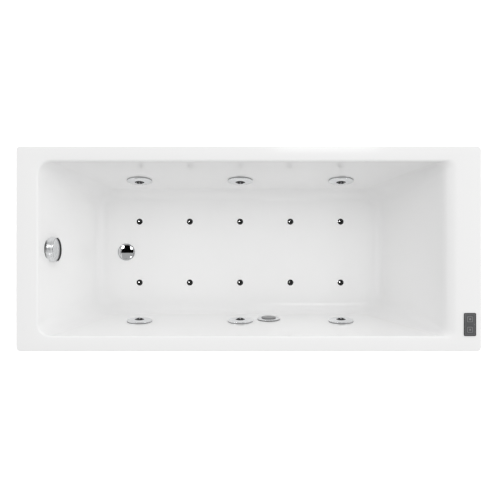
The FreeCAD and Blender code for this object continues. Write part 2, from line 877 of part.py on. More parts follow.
def wall_fitting_body(name, spot, chamber, sockets):
    """The part of a wall fitting behind its face: flange, neck, closed chamber and pipe sockets."""
    out = wall_thick + mm.gasket_thick + mm.back_nut_height + 1
    solids = [
        cylinder(f"{name}_flange", mm.jet_flange, mm.jet_flange_thick, spot),
        cylinder(f"{name}_neck", mm.jet_neck, out, beside(spot, 0, 0, -out)),
        cylinder(f"{name}_chamber", chamber, mm.jet_depth - out, beside(spot, 0, 0, -mm.jet_depth)),
    ]
    floor_thick = 3
    hollows = [
        cylinder(f"{name}_mouth", mm.jet_mouth, mm.jet_mouth_depth + FAR_OUT,
                 beside(spot, 0, 0, -mm.jet_mouth_depth)),
        cylinder(f"{name}_bore", mm.jet_bore, mm.jet_depth - floor_thick,
                 beside(spot, 0, 0, floor_thick - mm.jet_depth)),
    ]
    for index, (solid, hollow) in enumerate(sockets):
        solids.append(solid)
        hollows.extend(hollow)
    return cut(name, joined(f"{name}_solid", solids), hollows)


def jet_sockets(name, spot):
    """The tee that takes the pressure pipe on both sides of a jet body."""
    half = mm.jet_tee_half
    start = beside(spot, -half, 0, -mm.jet_tee_depth)
    along = Placement(start.Base, start.Rotation.multiply(ALONG_X))
    solid = cylinder(f"{name}_tee", mm.jet_tee_radius, half * 2, along)
    way = cylinder(f"{name}_tee_bore", mm.pipe_bore, half * 2, along)
    seat_length = half - mm.jet_socket_stop
    near_seat = cylinder(f"{name}_near_seat", mm.pipe_radius + mm.slip, seat_length, along)
    far_start = beside(spot, mm.jet_socket_stop, 0, -mm.jet_tee_depth)
    far_seat = cylinder(f"{name}_far_seat", mm.pipe_radius + mm.slip, seat_length,
                        Placement(far_start.Base, far_start.Rotation.multiply(ALONG_X)))
    return [(solid, [way, near_seat, far_seat])]


def suction_axis_point():
    """The middle of the suction fitting's chamber."""
    return beside(suction_spot, 0, 0, -mm.suction_chamber_depth).Base


def make_wall_fittings():
    bodies = []
    nuts = []
    gaskets = []
    for index, spot in enumerate(jet_spots + [suction_spot]):
        outer = -wall_thick
        gaskets.append(tube(f"wall_gasket_{index}", mm.gasket_radius, mm.jet_hole, outer - mm.gasket_thick,
                            outer, spot))
        nut_top = outer - mm.gasket_thick
        blank = hexagon(f"back_nut_{index}_blank", mm.back_nut_radius, mm.back_nut_height,
                        beside(spot, 0, 0, nut_top - mm.back_nut_height))
        bore = cylinder(f"back_nut_{index}_bore", mm.jet_neck + mm.slip, mm.back_nut_height * 3,
                        beside(spot, 0, 0, nut_top - mm.back_nut_height * 2))
        nuts.append(cut(f"back_nut_{index}", blank, [bore]))
    for index, spot in enumerate(jet_spots):
        name = f"jet_body_{index}"
        bodies.append(wall_fitting_body(name, spot, mm.jet_chamber, jet_sockets(name, spot)))
    gaskets.append(make_overflow_gasket())
    node("jet_bodies", group("jet_bodies", bodies))
    node("wall_fitting_nuts", group("wall_fitting_nuts", nuts))
    node("wall_fitting_gaskets", group("wall_fitting_gaskets", gaskets))


def make_jet_faces():
    """Each jet's chrome rosette, with a sleeve that turns in the body's mouth."""
    back = mm.jet_flange_thick + 0.3
    front = back + mm.jet_face_thick
    sleeve = mm.jet_mouth - mm.running_gap
    cup = mm.jet_ball + 0.3
    lip = mm.jet_bore
    deep = -mm.jet_mouth_depth + 0.5
    for index, spot in enumerate(jet_spots, start=1):
        face = turned(f"face_{index}", [
            (lip, deep), (sleeve, deep), (sleeve, back), (mm.jet_face_radius - 1.5, back),
            (mm.jet_face_radius - 1.5, 0.4), (mm.jet_face_radius, 0.4),
            (mm.jet_face_radius, back + 1.2), (mm.jet_face_radius - 2, back + 2.4, 2.5),
            (cup + 3, front), (cup, front), (cup, deep + 1.5), (lip, deep + 1.5)], spot)
        node(f"jet_face_{index}", face)


def make_jet_nozzles():
    """Each jet's ball nozzle: a clipped ball with three water ways."""
    radius = mm.jet_ball
    front = mm.jet_ball_front
    back = mm.jet_ball_back
    front_radius = math.sqrt(float(radius) ** 2 - float(front) ** 2)
    back_radius = math.sqrt(float(radius) ** 2 - float(back) ** 2)
    for index, spot in enumerate(jet_spots, start=1):
        centre = beside(spot, 0, 0, ball_centre())
        ball = turned(f"ball_{index}", [
            (0, -back), (back_radius, -back), (front_radius, front, radius), (0, front)], centre)
        ways = []
        for step in range(3):
            angle = math.radians(90 + 120 * step)
            ring = float(mm.jet_way_ring)
            side = beside(centre, ring * math.cos(angle), ring * math.sin(angle), -FAR_OUT)
            ways.append(cylinder(f"ball_{index}_way_{step}", mm.jet_way_radius, FAR_OUT * 2, side))
        node(f"jet_nozzle_{index}", cut(f"nozzle_{index}", ball, ways))


def ball_centre():
    """How far into the basin the ball's centre is from the wall."""
    return mm.jet_flange_thick - mm.jet_ball_sink


def make_suction():
    spot = suction_spot
    middle = suction_axis_point()
    drop = Placement(middle - Vector(0, 0, float(mm.suction_socket_drop)), UPRIGHT)
    socket = cylinder("suction_socket", mm.suction_socket_radius, mm.suction_socket_drop, drop)
    way = cylinder("suction_way", mm.suction_pipe_bore, mm.suction_socket_drop - mm.suction_roof, drop)
    seat = cylinder("suction_seat", mm.suction_pipe_radius + mm.slip, mm.suction_socket_drop / 2, drop)
    sockets = [(socket, [way, seat])]
    node("suction_body", wall_fitting_body("suction_body", spot, mm.suction_chamber, sockets))
    back = mm.jet_flange_thick + 0.1
    ring_top = back + mm.suction_ring_thick
    outer = mm.suction_ring_radius
    hollow = mm.suction_cap_radius - 4
    node("suction_ring", turned("suction_ring", [
        (hollow, back), (outer - 1.5, back), (outer - 1.5, 0.2), (outer, 0.2), (outer, back + 1.2),
        (outer - 3, ring_top, 4), (hollow + 1, ring_top), (hollow, ring_top - 1)], spot))
    cap_base = ring_top
    top = cap_base + mm.suction_cap_height
    radius = mm.suction_cap_radius
    cap = turned("suction_cap_blank", [
        (0, back - mm.suction_stem), (mm.jet_bore - 3, back - mm.suction_stem), (mm.jet_mouth - 1, back),
        (hollow - 0.2, back), (hollow - 0.2, cap_base),
        (radius, cap_base), (radius, top - 3), (radius - 3, top, 3), (0, top)], spot)
    slots = []
    for step in range(12):
        turn = Placement(Vector(0, 0, 0), Rotation(Vector(0, 0, 1), FULL_TURN / 12 * step))
        slot_spot = spot.multiply(turn).multiply(
            Placement(Vector(float(radius) - 9, -1.6, float(cap_base) + 1.5), Rotation()))
        slots.append(box(f"suction_slot_{step}", 12, 3.2, mm.suction_cap_height - 4, slot_spot))
    node("suction_cover", cut("suction_cover", cap, slots))


# ---------------------------------------------------------------- floor air jets and pipes

air_pipe_level = board_bottom - mm.air_pipe_drop


def make_air_jets():
    caps = []
    bodies = []
    below = mm.floor_height - air_pipe_level
    for index, spot in enumerate(air_spots):
        x, y, z = spot
        radius = mm.air_cap_radius
        stem_end = mm.air_pipe_radius + 2 - below
        rise = mm.air_cap_height
        caps.append(turned(f"air_cap_{index}", [
            (0, stem_end), (mm.air_stem, stem_end), (mm.air_stem, 0), (radius, 0), (radius, 1.2),
            (0, rise, dome_radius(radius, rise - 1.2))], spot))
        sleeve_bottom = air_pipe_level + mm.air_pipe_radius + 1
        sleeve = cylinder(f"air_sleeve_{index}", mm.air_sleeve, mm.floor_height - sleeve_bottom,
                          (x, y, sleeve_bottom))
        collar_spot = Placement(Vector(float(x - mm.air_collar_length / 2), float(y), float(air_pipe_level)),
                                ALONG_X)
        collar = cylinder(f"air_collar_{index}", mm.air_collar_radius, mm.air_collar_length, collar_spot)
        bore = cylinder(f"air_bore_{index}", mm.air_stem + mm.slip, FAR_OUT * 2, (x, y, air_pipe_level))
        seat = cylinder(f"air_seat_{index}", mm.air_pipe_radius + mm.slip, mm.air_collar_length, collar_spot)
        bodies.append(cut(f"air_body_{index}", joined(f"air_body_{index}_solid", [sleeve, collar]),
                          [bore, seat]))
    node("air_jet_caps", group("air_jet_caps", caps))
    node("air_jet_bodies", group("air_jet_bodies", bodies))


def dome_radius(half_width, rise):
    """The radius of a dome with a given half width and rise."""
    return (float(half_width) ** 2 + float(rise) ** 2) / (2 * float(rise))


def jet_line(side):
    """Where the pressure pipe runs along one side: its distance from the middle and its level."""
    spot = wall_spot(side, 0, mm.jet_level)
    point = beside(spot, 0, 0, -mm.jet_tee_depth).Base
    return point.y, point.z


def pump_outlet():
    """The pump outlet's upright axis."""
    return float(mm.pump_x - mm.pump_outlet_shift), float(mm.pump_y - mm.volute_width / 2)


def make_water_manifold():
    """The pressure pipes: runs between the jets, a cross pipe past the head end and a tee to the pump."""
    stop = float(mm.jet_socket_stop) + 1
    jets = [float(mm.jet_middle_x + mm.jet_pitch * step) for step in (-1, 0, 1)]
    bend = float(mm.pipe_bend)
    solids = []
    for side in (1, -1):
        y, z = jet_line(side)
        for left, right in zip(jets, jets[1:]):
            solids.append(pipe_shape([(left + stop, y, z), (right - stop, y, z)], bend,
                                     mm.pipe_radius, mm.pipe_bore))
        end = Vector(jets[0] - float(mm.jet_tee_half) - 4, y, z)
        solids.append(Part.makeCylinder(float(mm.pipe_radius), float(mm.jet_tee_half) - stop + 4, end,
                                        Vector(1, 0, 0)))
    x, outlet_y = pump_outlet()
    far_y, z = jet_line(1)
    near_y = jet_line(-1)[0]
    elbow_half = bend + float(mm.elbow_stub)
    for side, y in ((1, far_y), (-1, near_y)):
        along = x - elbow_half
        across = y - side * elbow_half
        solids.append(pipe_shape([(jets[2] + stop, y, z), (along, y, z)], bend, mm.pipe_radius, mm.pipe_bore))
        solids.append(pipe_shape([(along, y, z), (x, y, z), (x, across, z)], bend,
                                 mm.pipe_radius + mm.tee_wall, mm.pipe_bore))
    cross = [(x, far_y - elbow_half, z), (x, near_y + elbow_half, z)]
    branch_end = Vector(x, outlet_y, float(mm.pump_level + mm.pump_outlet_rise - mm.joint_depth))
    branch_length = z - branch_end.z
    tee_start = Vector(x, outlet_y - float(mm.tee_half), z)
    tee = Part.makeCylinder(float(mm.pipe_radius + mm.tee_wall), float(mm.tee_half) * 2, tee_start,
                            Vector(0, 1, 0))
    outer = swept(cross, bend, mm.pipe_radius).fuse(tee)
    outer = outer.fuse(Part.makeCylinder(float(mm.pipe_radius), branch_length, branch_end))
    inner = swept(cross, bend, mm.pipe_bore)
    inner = inner.fuse(Part.makeCylinder(float(mm.pipe_bore) - 1, branch_length, branch_end))
    solids.append(outer.cut(inner))
    node("water_manifold", feature("water_manifold", Part.Compound(solids)))


def make_suction_pipe():
    middle = suction_axis_point()
    level = float(mm.pump_level)
    start_z = middle.z - float(mm.suction_socket_drop) / 2 - 1
    inlet_y = float(mm.pump_y - mm.volute_width - mm.pump_inlet_length + mm.joint_depth) - 1
    points = [(middle.x, middle.y, start_z), (middle.x, middle.y, level),
              (float(mm.pump_x), middle.y, level), (float(mm.pump_x), inlet_y, level)]
    node("suction_pipe", feature("suction_pipe", pipe_shape(
        points, float(mm.suction_pipe_radius) + 8, mm.suction_pipe_radius, mm.suction_pipe_bore)))


def make_air_manifold():
    """The air pipe: from the blower, under the floor past all ten air jets, to a closed end."""
    spread = float(mm.air_spread)
    level = float(air_pipe_level)
    blower_face = float(mm.blower_x + mm.blower_radius + mm.blower_outlet_reach)
    outlet_z = float(tray_top + mm.blower_outlet_rise)
    turn_x = blower_face + float(mm.air_turn)
    far_x = float(mm.air_middle_x + mm.air_pitch * 2 + mm.air_far_end)
    end_x = float(mm.air_middle_x - mm.air_pitch * 2 - mm.air_near_end)
    points = [(blower_face - float(mm.air_joint) + 1, spread, outlet_z), (turn_x, spread, outlet_z), (turn_x, spread, level),
              (far_x, spread, level), (far_x, -spread, level), (end_x, -spread, level)]
    pipe = pipe_shape(points, float(mm.air_pipe_radius) + 10, mm.air_pipe_radius, mm.air_pipe_bore)
    plug = Part.makeCylinder(float(mm.air_pipe_bore), 6, Vector(end_x, -spread, level), Vector(1, 0, 0))
    ways = []
    for x, y, z in air_spots:
        ways.append(Part.makeCylinder(float(mm.air_stem) - 1, FAR_OUT, Vector(float(x), float(y), level)))
    pipe = pipe.fuse(plug).cut(Part.Compound(ways))
    node("air_manifold", feature("air_manifold", pipe))


# ---------------------------------------------------------------- pump and motor

pump_spot = turned_to(Vector(float(mm.pump_x), float(mm.pump_y), float(mm.pump_level)),
                      Vector(0, -1, 0), Vector(1, 0, 0))


def make_pump():
    """Wet end: the volute's upright outlet and its inlet along the shaft."""
    width = mm.volute_width
    wall = mm.volute_wall
    inlet_end = width + mm.pump_inlet_length
    outlet_spot = Placement(Vector(pump_outlet()[0], pump_outlet()[1], float(mm.pump_level)), UPRIGHT)
    solid = joined("volute_solid", [
        cylinder("volute_drum", mm.volute_radius, width, pump_spot),
        cylinder("volute_inlet", mm.pump_inlet_radius, inlet_end, pump_spot),
        cylinder("volute_outlet", mm.pump_outlet_radius, mm.pump_outlet_rise, outlet_spot),
    ])
    seat_spot = Placement(outlet_spot.Base + Vector(0, 0, float(mm.pump_outlet_rise - mm.joint_depth) - 1), UPRIGHT)
    hollows = [
        cylinder("volute_chamber", mm.volute_radius - wall, width - wall * 2, beside(pump_spot, 0, 0, wall)),
        cylinder("volute_inlet_bore", mm.suction_pipe_bore, mm.pump_inlet_length + FAR_OUT,
                 beside(pump_spot, 0, 0, width - wall - 1)),
        cylinder("volute_inlet_seat", mm.suction_pipe_radius + mm.slip, FAR_OUT,
                 beside(pump_spot, 0, 0, inlet_end - mm.joint_depth)),
        cylinder("volute_outlet_bore", mm.pipe_bore, mm.pump_outlet_rise, outlet_spot),
        cylinder("volute_outlet_seat", mm.pipe_radius + mm.slip, FAR_OUT, seat_spot),
        cylinder("volute_shaft_hole", mm.shaft_radius + mm.running_gap, wall * 3,
                 beside(pump_spot, 0, 0, -wall)),
    ]
    node("pump_volute", cut("pump_volute", solid, hollows))
    impeller_base = wall + 6
    disc = tube("impeller_disc", mm.impeller_radius, mm.shaft_radius, impeller_base,
                impeller_base + 4, pump_spot)
    hub = tube("impeller_hub", mm.shaft_radius + 7, mm.shaft_radius, impeller_base,
               impeller_base + mm.impeller_width, pump_spot)
    vanes = []
    vane_length = mm.impeller_radius - mm.shaft_radius - 5
    for step in range(6):
        turn = Placement(Vector(0, 0, 0), Rotation(Vector(0, 0, 1), FULL_TURN / 6 * step))
        swept_back = Placement(Vector(float(mm.shaft_radius) + 4, -2, float(impeller_base) + 1),
                               Rotation(Vector(0, 0, 1), 12))
        vanes.append(box(f"impeller_vane_{step}", vane_length, 3, mm.impeller_width - 4,
                         pump_spot.multiply(turn).multiply(swept_back)))
    node("pump_impeller", joined("pump_impeller", [disc, hub] + vanes))


def motor_saddles():
    """Two cast feet under the motor, hollowed to its round case."""
    saddles = []
    side = mm.mount_side
    width = mm.saddle_spread * 2 + side
    bottom = tray_top + mm.mount_height
    for index, along in enumerate((mm.saddle_front, mm.saddle_rear)):
        block = box(f"saddle_{index}_block", width, side, mm.pump_level - bottom - mm.motor_radius / 3,
                    (mm.pump_x - width / 2, mm.pump_y + along - side / 2, bottom))
        hollow = cylinder(f"saddle_{index}_hollow", mm.motor_radius - mm.motor_wall / 2, mm.motor_length * 2,
                          beside(pump_spot, 0, 0, -mm.motor_length * 1.5))
        saddles.append(cut(f"saddle_{index}", block, [hollow]))
    return saddles


def make_motor():
    """Dry end: housing with its stator, bearings, shaft with its rotor core, fan and fan cover."""
    length = mm.motor_length
    shaft = mm.shaft_radius
    core_low = -length + mm.core_rear
    core_high = -mm.core_front
    stator_bore = mm.rotor_core_radius + mm.stator_gap
    bearing_seat = mm.bearing_radius + mm.slip
    rear_inner = -length + mm.rear_wall
    carrier = rear_inner + mm.rear_carrier
    relief = bearing_seat + mm.bearing_relief
    inside = mm.motor_radius - mm.motor_wall
    case = turned("motor_case", [
        (shaft + 1, -length), (mm.motor_radius, -length), (mm.motor_radius, 0), (bearing_seat, 0),
        (bearing_seat, -mm.bearing_width - 1), (relief, -mm.bearing_width - 1),
        (relief, -mm.front_wall), (inside, -mm.front_wall), (inside, core_high),
        (stator_bore, core_high), (stator_bore, core_low), (inside, core_low),
        (inside, carrier), (bearing_seat, carrier), (bearing_seat, rear_inner),
        (shaft + 1, rear_inner)], pump_spot)
    node("motor_housing", joined("motor_housing", [case] + motor_saddles()))
    bearings = []
    seats = (-mm.bearing_width - 0.5, rear_inner + 0.5)
    for index, low in enumerate(seats):
        bearings.append(tube(f"bearing_{index}", mm.bearing_radius, shaft + mm.running_gap, low,
                             low + mm.bearing_width, pump_spot))
    node("motor_bearings", group("motor_bearings", bearings))
    fan_low = -length - mm.fan_width - 6
    core = mm.rotor_core_radius
    node("pump_shaft", turned("pump_shaft", [
        (0, fan_low - 4), (shaft, fan_low - 4), (shaft, core_low + 4), (core, core_low + 4),
        (core, core_high - 4), (shaft, core_high - 4), (shaft, mm.volute_wall + mm.impeller_width),
        (0, mm.volute_wall + mm.impeller_width)], pump_spot))
    hub = tube("fan_hub", shaft + 8, shaft, fan_low, fan_low + mm.fan_width, pump_spot)
    disc = tube("fan_disc", mm.fan_radius - 12, shaft, fan_low + mm.fan_width - 3,
                fan_low + mm.fan_width, pump_spot)
    blades = []
    for step in range(7):
        turn = Placement(Vector(0, 0, 0), Rotation(Vector(0, 0, 1), FULL_TURN / 7 * step))
        root = Placement(Vector(float(shaft) + 5, -1.25, float(fan_low)), Rotation())
        blades.append(box(f"fan_blade_{step}", mm.fan_radius - shaft - 5, 2.5, mm.fan_width,
                          pump_spot.multiply(turn).multiply(root)))
    node("motor_fan", joined("motor_fan", [hub, disc] + blades))
    cover_back = fan_low - 10
    cover_inner = mm.motor_radius + mm.slip
    cover_outer = cover_inner + mm.fan_cover_wall
    cover_front = cover_back + mm.fan_cover_length
    blank = turned("fan_cover_blank", [
        (0, cover_back), (cover_outer - 6, cover_back), (cover_outer, cover_back + 6, 6),
        (cover_outer, cover_front), (cover_inner, cover_front), (cover_inner, cover_back + 6),
        (cover_inner - 4, cover_back + 2, -4), (0, cover_back + 2)], pump_spot)
    slots = []
    for ring, count in ((18.0, 6), (32.0, 10), (46.0, 14)):
        for step in range(count):
            angle = 2 * math.pi * step / count
            slots.append(cylinder(f"fan_slot_{count}_{step}", 4.2, FAR_OUT,
                                  beside(pump_spot, ring * math.cos(angle), ring * math.sin(angle),
                                         cover_back - FAR_OUT / 2)))
    node("motor_fan_cover", cut("motor_fan_cover", blank, slots))


def make_pump_mounts():
    """Rubber blocks between the tray and the motor's saddles."""
    pieces = []
    side = mm.mount_side
    for index, along in enumerate((mm.saddle_front, mm.saddle_rear)):
        for end in (-1, 1):
            pieces.append(box(f"mount_{index}_{end + 1}", side, side, mm.mount_height,
                              (mm.pump_x + end * mm.saddle_spread - side / 2,
                               mm.pump_y + along - side / 2, tray_top)))
    node("pump_mounts", group("pump_mounts", pieces))


# ---------------------------------------------------------------- blower and controls

def make_blower():
    base = (mm.blower_x, mm.air_spread, tray_top)
    x, y, z = base
    wall = mm.blower_wall
    outlet_spot = Placement(Vector(float(x), float(y), float(z + mm.blower_outlet_rise)), ALONG_X)
    solid = joined("blower_solid", [
        cylinder("blower_can", mm.blower_radius, mm.blower_height, base),
        cylinder("blower_spout", mm.air_pipe_radius + 4, mm.blower_radius + mm.blower_outlet_reach,
                 outlet_spot),
    ])
    reach = mm.blower_radius + mm.blower_outlet_reach
    hollows = [
        cylinder("blower_hollow", mm.blower_radius - wall, mm.blower_height - wall * 2, (x, y, z + wall)),
        cylinder("blower_spout_bore", mm.air_pipe_bore, reach, outlet_spot),
        cylinder("blower_spout_seat", mm.air_pipe_radius + mm.slip, FAR_OUT,
                 Placement(outlet_spot.Base + Vector(float(reach - mm.air_joint), 0, 0), ALONG_X)),
        cylinder("blower_shaft_hole", mm.blower_shaft + 1, mm.blower_height, (x, y, z + wall * 2)),
    ]
    node("blower_housing", cut("blower_housing", solid, hollows))
    impeller_base = 20.0
    shaft_top = mm.blower_height + 30
    node("blower_impeller", turned("blower_impeller", [
        (0, impeller_base), (mm.blower_impeller_radius, impeller_base),
        (mm.blower_impeller_radius, impeller_base + mm.blower_impeller_height),
        (mm.blower_impeller_radius - 3, impeller_base + mm.blower_impeller_height),
        (mm.blower_impeller_radius - 3, impeller_base + 3), (mm.blower_shaft + 6, impeller_base + 3),
        (mm.blower_shaft + 6, impeller_base + mm.blower_impeller_height),
        (mm.blower_shaft, impeller_base + mm.blower_impeller_height),
        (mm.blower_shaft, shaft_top), (0, shaft_top)], base))
    low = mm.blower_height
    top = low + mm.blower_motor_height
    radius = mm.blower_motor_radius
    bore = mm.blower_shaft + mm.running_gap
    node("blower_motor", turned("blower_motor", [
        (bore, low), (radius, low), (radius, top - 5), (radius - 5, top, 5), (0, top),
        (0, shaft_top + 1), (bore, shaft_top + 1)], base))


def make_control_box():
    corner = (mm.control_x, mm.control_y, tray_top)
    x, y, z = corner
    wall = mm.control_wall
    gland_level = z + mm.control_height / 3
    gland_y = y + mm.control_width / 2
    start = Placement(Vector(float(x + wall), float(gland_y), float(gland_level)), ALONG_MINUS_X)
    solid = joined("control_solid", [
        box("control_case", mm.control_length, mm.control_width, mm.control_height, corner),
        cylinder("control_gland", mm.gland_radius, mm.gland_length + wall, start),
    ])
    hollow = box("control_hollow", mm.control_length - wall * 2, mm.control_width - wall * 2,
                 mm.control_height - wall * 2, (x + wall, y + wall, z + wall))
    bore = cylinder("control_gland_bore", mm.gland_bore, mm.gland_length + wall, start)
    node("control_box", cut("control_box", solid, [hollow, bore]))


def rounded_block(name, width, length, corner, bottom, top, middle_x, middle_y):
    """A block with rounded upright edges, about a middle."""
    body = doc.addObject("PartDesign::Body", name)
    sketch = body.newObject("Sketcher::SketchObject", f"{name}_outline")
    sketch.AttachmentSupport = (origin_plane(body, "XY_Plane"), [""])
    sketch.MapMode = "FlatFace"
    x = width / 2
    y = length / 2
    outline(sketch, [
        (x - corner, -y), (x, corner - y, corner), (x, y - corner), (x - corner, y, corner),
        (corner - x, y), (-x, y - corner, corner), (-x, corner - y), (corner - x, -y, corner)])
    pad = body.newObject("PartDesign::Pad", f"{name}_pad")
    pad.Profile = sketch
    bind(pad, "Length", top - bottom)
    return place(body, (middle_x, middle_y, bottom))


def make_keypad():
    """A plate on the rim with its case below, and two square buttons that travel down."""
    top = mm.rim_height + mm.keypad_thick
    case_width = mm.keypad_width - mm.keypad_case_margin * 2
    case_length = mm.keypad_length - mm.keypad_case_margin * 2
    case_bottom = mm.rim_height - mm.keypad_case_depth
    plate = rounded_block("keypad_cover", mm.keypad_width, mm.keypad_length, mm.keypad_corner,
                          mm.rim_height, top, mm.keypad_x, mm.keypad_y)
    case = box("keypad_case", case_width, case_length, mm.keypad_case_depth,
               (mm.keypad_x - case_width / 2, mm.keypad_y - case_length / 2, case_bottom))
    wall = mm.keypad_wall
    hollow = box("keypad_hollow", case_width - wall * 2, case_length - wall * 2,
                 mm.keypad_case_depth - wall * 2,
                 (mm.keypad_x - case_width / 2 + wall, mm.keypad_y - case_length / 2 + wall,
                  case_bottom + wall))
    holes = [hollow]
    hole_side = mm.button_side + mm.button_gap * 2
    for index, side in enumerate((1, -1), start=1):
        y = mm.keypad_y + side * mm.button_spread
        holes.append(rounded_block(f"button_hole_{index}", hole_side, hole_side,
                                   mm.button_corner + mm.button_gap, mm.rim_height - wall - 1, top + 1,
                                   mm.keypad_x, y))
        node(f"keypad_button_{index}", rounded_block(
            f"button_{index}", mm.button_side, mm.button_side, mm.button_corner,
            top - mm.button_depth, top + mm.button_proud, mm.keypad_x, y))
    node("keypad_plate", cut("keypad_plate", joined("keypad_solid", [plate, case]), holes))


# ---------------------------------------------------------------- overflow and waste

def overflow_chamber_point():
    """Where the overflow body's upright outlet starts."""
    return beside(overflow_spot, 0, 0, -mm.overflow_outlet_depth).Base


def overflow_drop_spot(y, level):
    """A point on the overflow pipe's drop line, shifted along Y."""
    return (overflow_chamber_point().x, float(y), float(level))


def overflow_shoulder():
    """How far behind the wall's inner surface the overflow's chamber starts, clear of the wall."""
    return wall_thick + mm.gasket_thick / 2 + mm.overflow_chamber * math.tan(abs(overflow_lean))


def beyond_wall(name, side, depth):
    """The half space on one side of the drain-end wall: 1 is into the basin, -1 away from it."""
    reach = mm.rosette_radius * 3
    start = -depth if side > 0 else -depth - reach
    return box(name, reach, reach, reach, beside(overflow_hole_spot, -reach / 2, -reach / 2, start))


def make_overflow_gasket():
    shoulder = overflow_shoulder()
    ring = tube("overflow_gasket_ring", mm.overflow_chamber, mm.overflow_neck + mm.slip, -shoulder, 0.0,
                overflow_spot)
    return cut("overflow_gasket", ring, [beyond_wall("overflow_gasket_limit", 1, wall_thick)])


def make_overflow():
    spot = overflow_spot
    start = overflow_chamber_point()
    socket_spot = Placement(start - Vector(0, 0, float(mm.overflow_socket_drop)), UPRIGHT)
    cable_spot = Placement(start, Rotation(Vector(1, 0, 0), 90))
    neck_end = mm.rosette_front - mm.rosette_plate - mm.slip
    boss_length = mm.overflow_chamber + 8
    solid = joined("overflow_solid", [
        cylinder("overflow_neck", mm.overflow_neck, mm.overflow_depth + neck_end,
                 beside(spot, 0, 0, -mm.overflow_depth)),
        cylinder("overflow_chamber", mm.overflow_chamber, mm.overflow_depth - overflow_shoulder(),
                 beside(spot, 0, 0, -mm.overflow_depth)),
        cylinder("overflow_socket", mm.overflow_socket_radius, mm.overflow_socket_drop, socket_spot),
        cylinder("overflow_cable_boss", mm.cable_radius + 4, boss_length, cable_spot),
    ])
    hollows = [
        cylinder("overflow_bore", mm.overflow_neck - 3, mm.overflow_depth * 2,
                 beside(spot, 0, 0, 3 - mm.overflow_depth)),
        cylinder("overflow_way", mm.pipe_bore, mm.overflow_socket_drop, socket_spot),
        cylinder("overflow_seat", mm.pipe_radius + mm.slip, mm.joint_depth, socket_spot),
        cylinder("overflow_cable_seat", mm.cable_radius + mm.slip, boss_length,
                 cable_spot.multiply(Placement(Vector(0, 0, 12), UPRIGHT))),
    ]
    node("overflow_body", cut("overflow_body", solid, hollows))


def make_rosette():
    """A wedge-shaped cup, so that the knob sits less tilted than the wall."""
    spot = overflow_spot
    front = mm.rosette_front
    cup_floor = front - mm.rosette_plate
    neck_seat = mm.overflow_neck + mm.slip
    radius = mm.rosette_radius
    blank = turned("rosette_blank", [
        (neck_seat, -radius), (radius, -radius), (radius, front - 2), (radius - 2, front, 2),
        (mm.knob_spindle + mm.running_gap, front), (mm.knob_spindle + mm.running_gap, cup_floor),
        (neck_seat, cup_floor)], spot)
    tools = [beyond_wall("rosette_limit", -1, 0.0)]
    ring = mm.overflow_inlet_ring
    for step in range(6):
        angle = 2 * math.pi * step / 6
        tools.append(cylinder(f"rosette_inlet_{step}", mm.overflow_inlet_hole, FAR_OUT,
                              beside(spot, ring * math.cos(angle), ring * math.sin(angle), 0)))
    node("overflow_rosette", cut("overflow_rosette", blank, tools))


def make_knob():
    """A round knob on a spindle, with two finger notches on its lower side."""
    spot = overflow_spot
    back = mm.rosette_front + mm.knob_standoff
    front = back + mm.knob_thick
    radius = mm.knob_radius
    spindle_end = mm.rosette_front - mm.rosette_plate - 12
    disc = turned("knob_disc", [
        (0, spindle_end), (mm.knob_spindle, spindle_end), (mm.knob_spindle, back), (radius - 2, back),
        (radius, back + 2, 2), (radius, front - 3), (radius - 3, front - 0.6, 3),
        (0, front, dome_radius(radius - 3, 0.6))], spot)
    notches = []
    for step, degrees in enumerate((-60, -120)):
        angle = math.radians(degrees)
        ring = radius + mm.knob_notch - 4
        notches.append(cylinder(f"knob_notch_{step}", mm.knob_notch, mm.knob_thick * 3,
                                beside(spot, ring * math.cos(angle), ring * math.sin(angle),
                                       back - mm.knob_thick)))
    node("overflow_knob", cut("overflow_knob", disc, notches))


def make_overflow_pipe():
    start = overflow_chamber_point()
    low = float(mm.overflow_run_level)
    top = start.z - float(mm.overflow_socket_drop) + float(mm.joint_depth) - 1
    end_x = float(mm.drain_x - mm.waste_radius - 12) + 11
    points = [(start.x, 0, top), (start.x, 0, low), (end_x, 0, low)]
    node("overflow_pipe", feature("overflow_pipe", pipe_shape(points, mm.pipe_bend, mm.pipe_radius,
                                                              mm.pipe_bore)))


def make_drain():
    x, y, z = drain_spot
    flange_top = mm.drain_flange_thick
    bottom = flange_top - mm.drain_neck_length
    rim = mm.drain_flange_radius
    ring = turned("flange_ring", [
        (mm.drain_bore, bottom), (mm.drain_neck, bottom), (mm.drain_neck, 0), (rim, 0),
        (rim, flange_top - 2), (rim - 2, flange_top, 2), (mm.drain_bore + 2, flange_top),
        (mm.drain_bore, flange_top - 2)], drain_spot)
    hub_low = bottom + 2
    hub = tube("guide_hub", mm.guide_hub, mm.plug_stem + mm.running_gap, hub_low, hub_low + 12, drain_spot)
    arms = []
    for step in range(3):
        turn = Placement(Vector(float(x), 0, float(z + hub_low)),
                         Rotation(Vector(0, 0, 1), FULL_TURN / 3 * step))
        root = Placement(Vector(float(mm.guide_hub) - 1, -1.5, 0), UPRIGHT)
        arms.append(box(f"guide_arm_{step}", mm.drain_bore - mm.guide_hub + 2, 3, 8, turn.multiply(root)))
    node("drain_flange", joined("drain_flange", [ring, hub] + arms))
    seat = flange_top + mm.plug_seal_thick
    radius = mm.plug_radius
    crown = seat + mm.plug_height
    stem_end = seat - mm.plug_stem_length
    node("waste_plug", turned("waste_plug", [
        (0, stem_end), (mm.plug_stem, stem_end), (mm.plug_stem, seat), (radius - 1, seat),
        (radius, seat + 1, 1), (radius, seat + mm.plug_edge),
        (0, crown, dome_radius(radius, mm.plug_height - mm.plug_edge))], drain_spot))
    seal_outer = mm.plug_seal_ring + 2.5
    node("plug_seal", tube("plug_seal", seal_outer, mm.plug_seal_ring - 2.5, flange_top + 0.05, seat,
                           drain_spot))


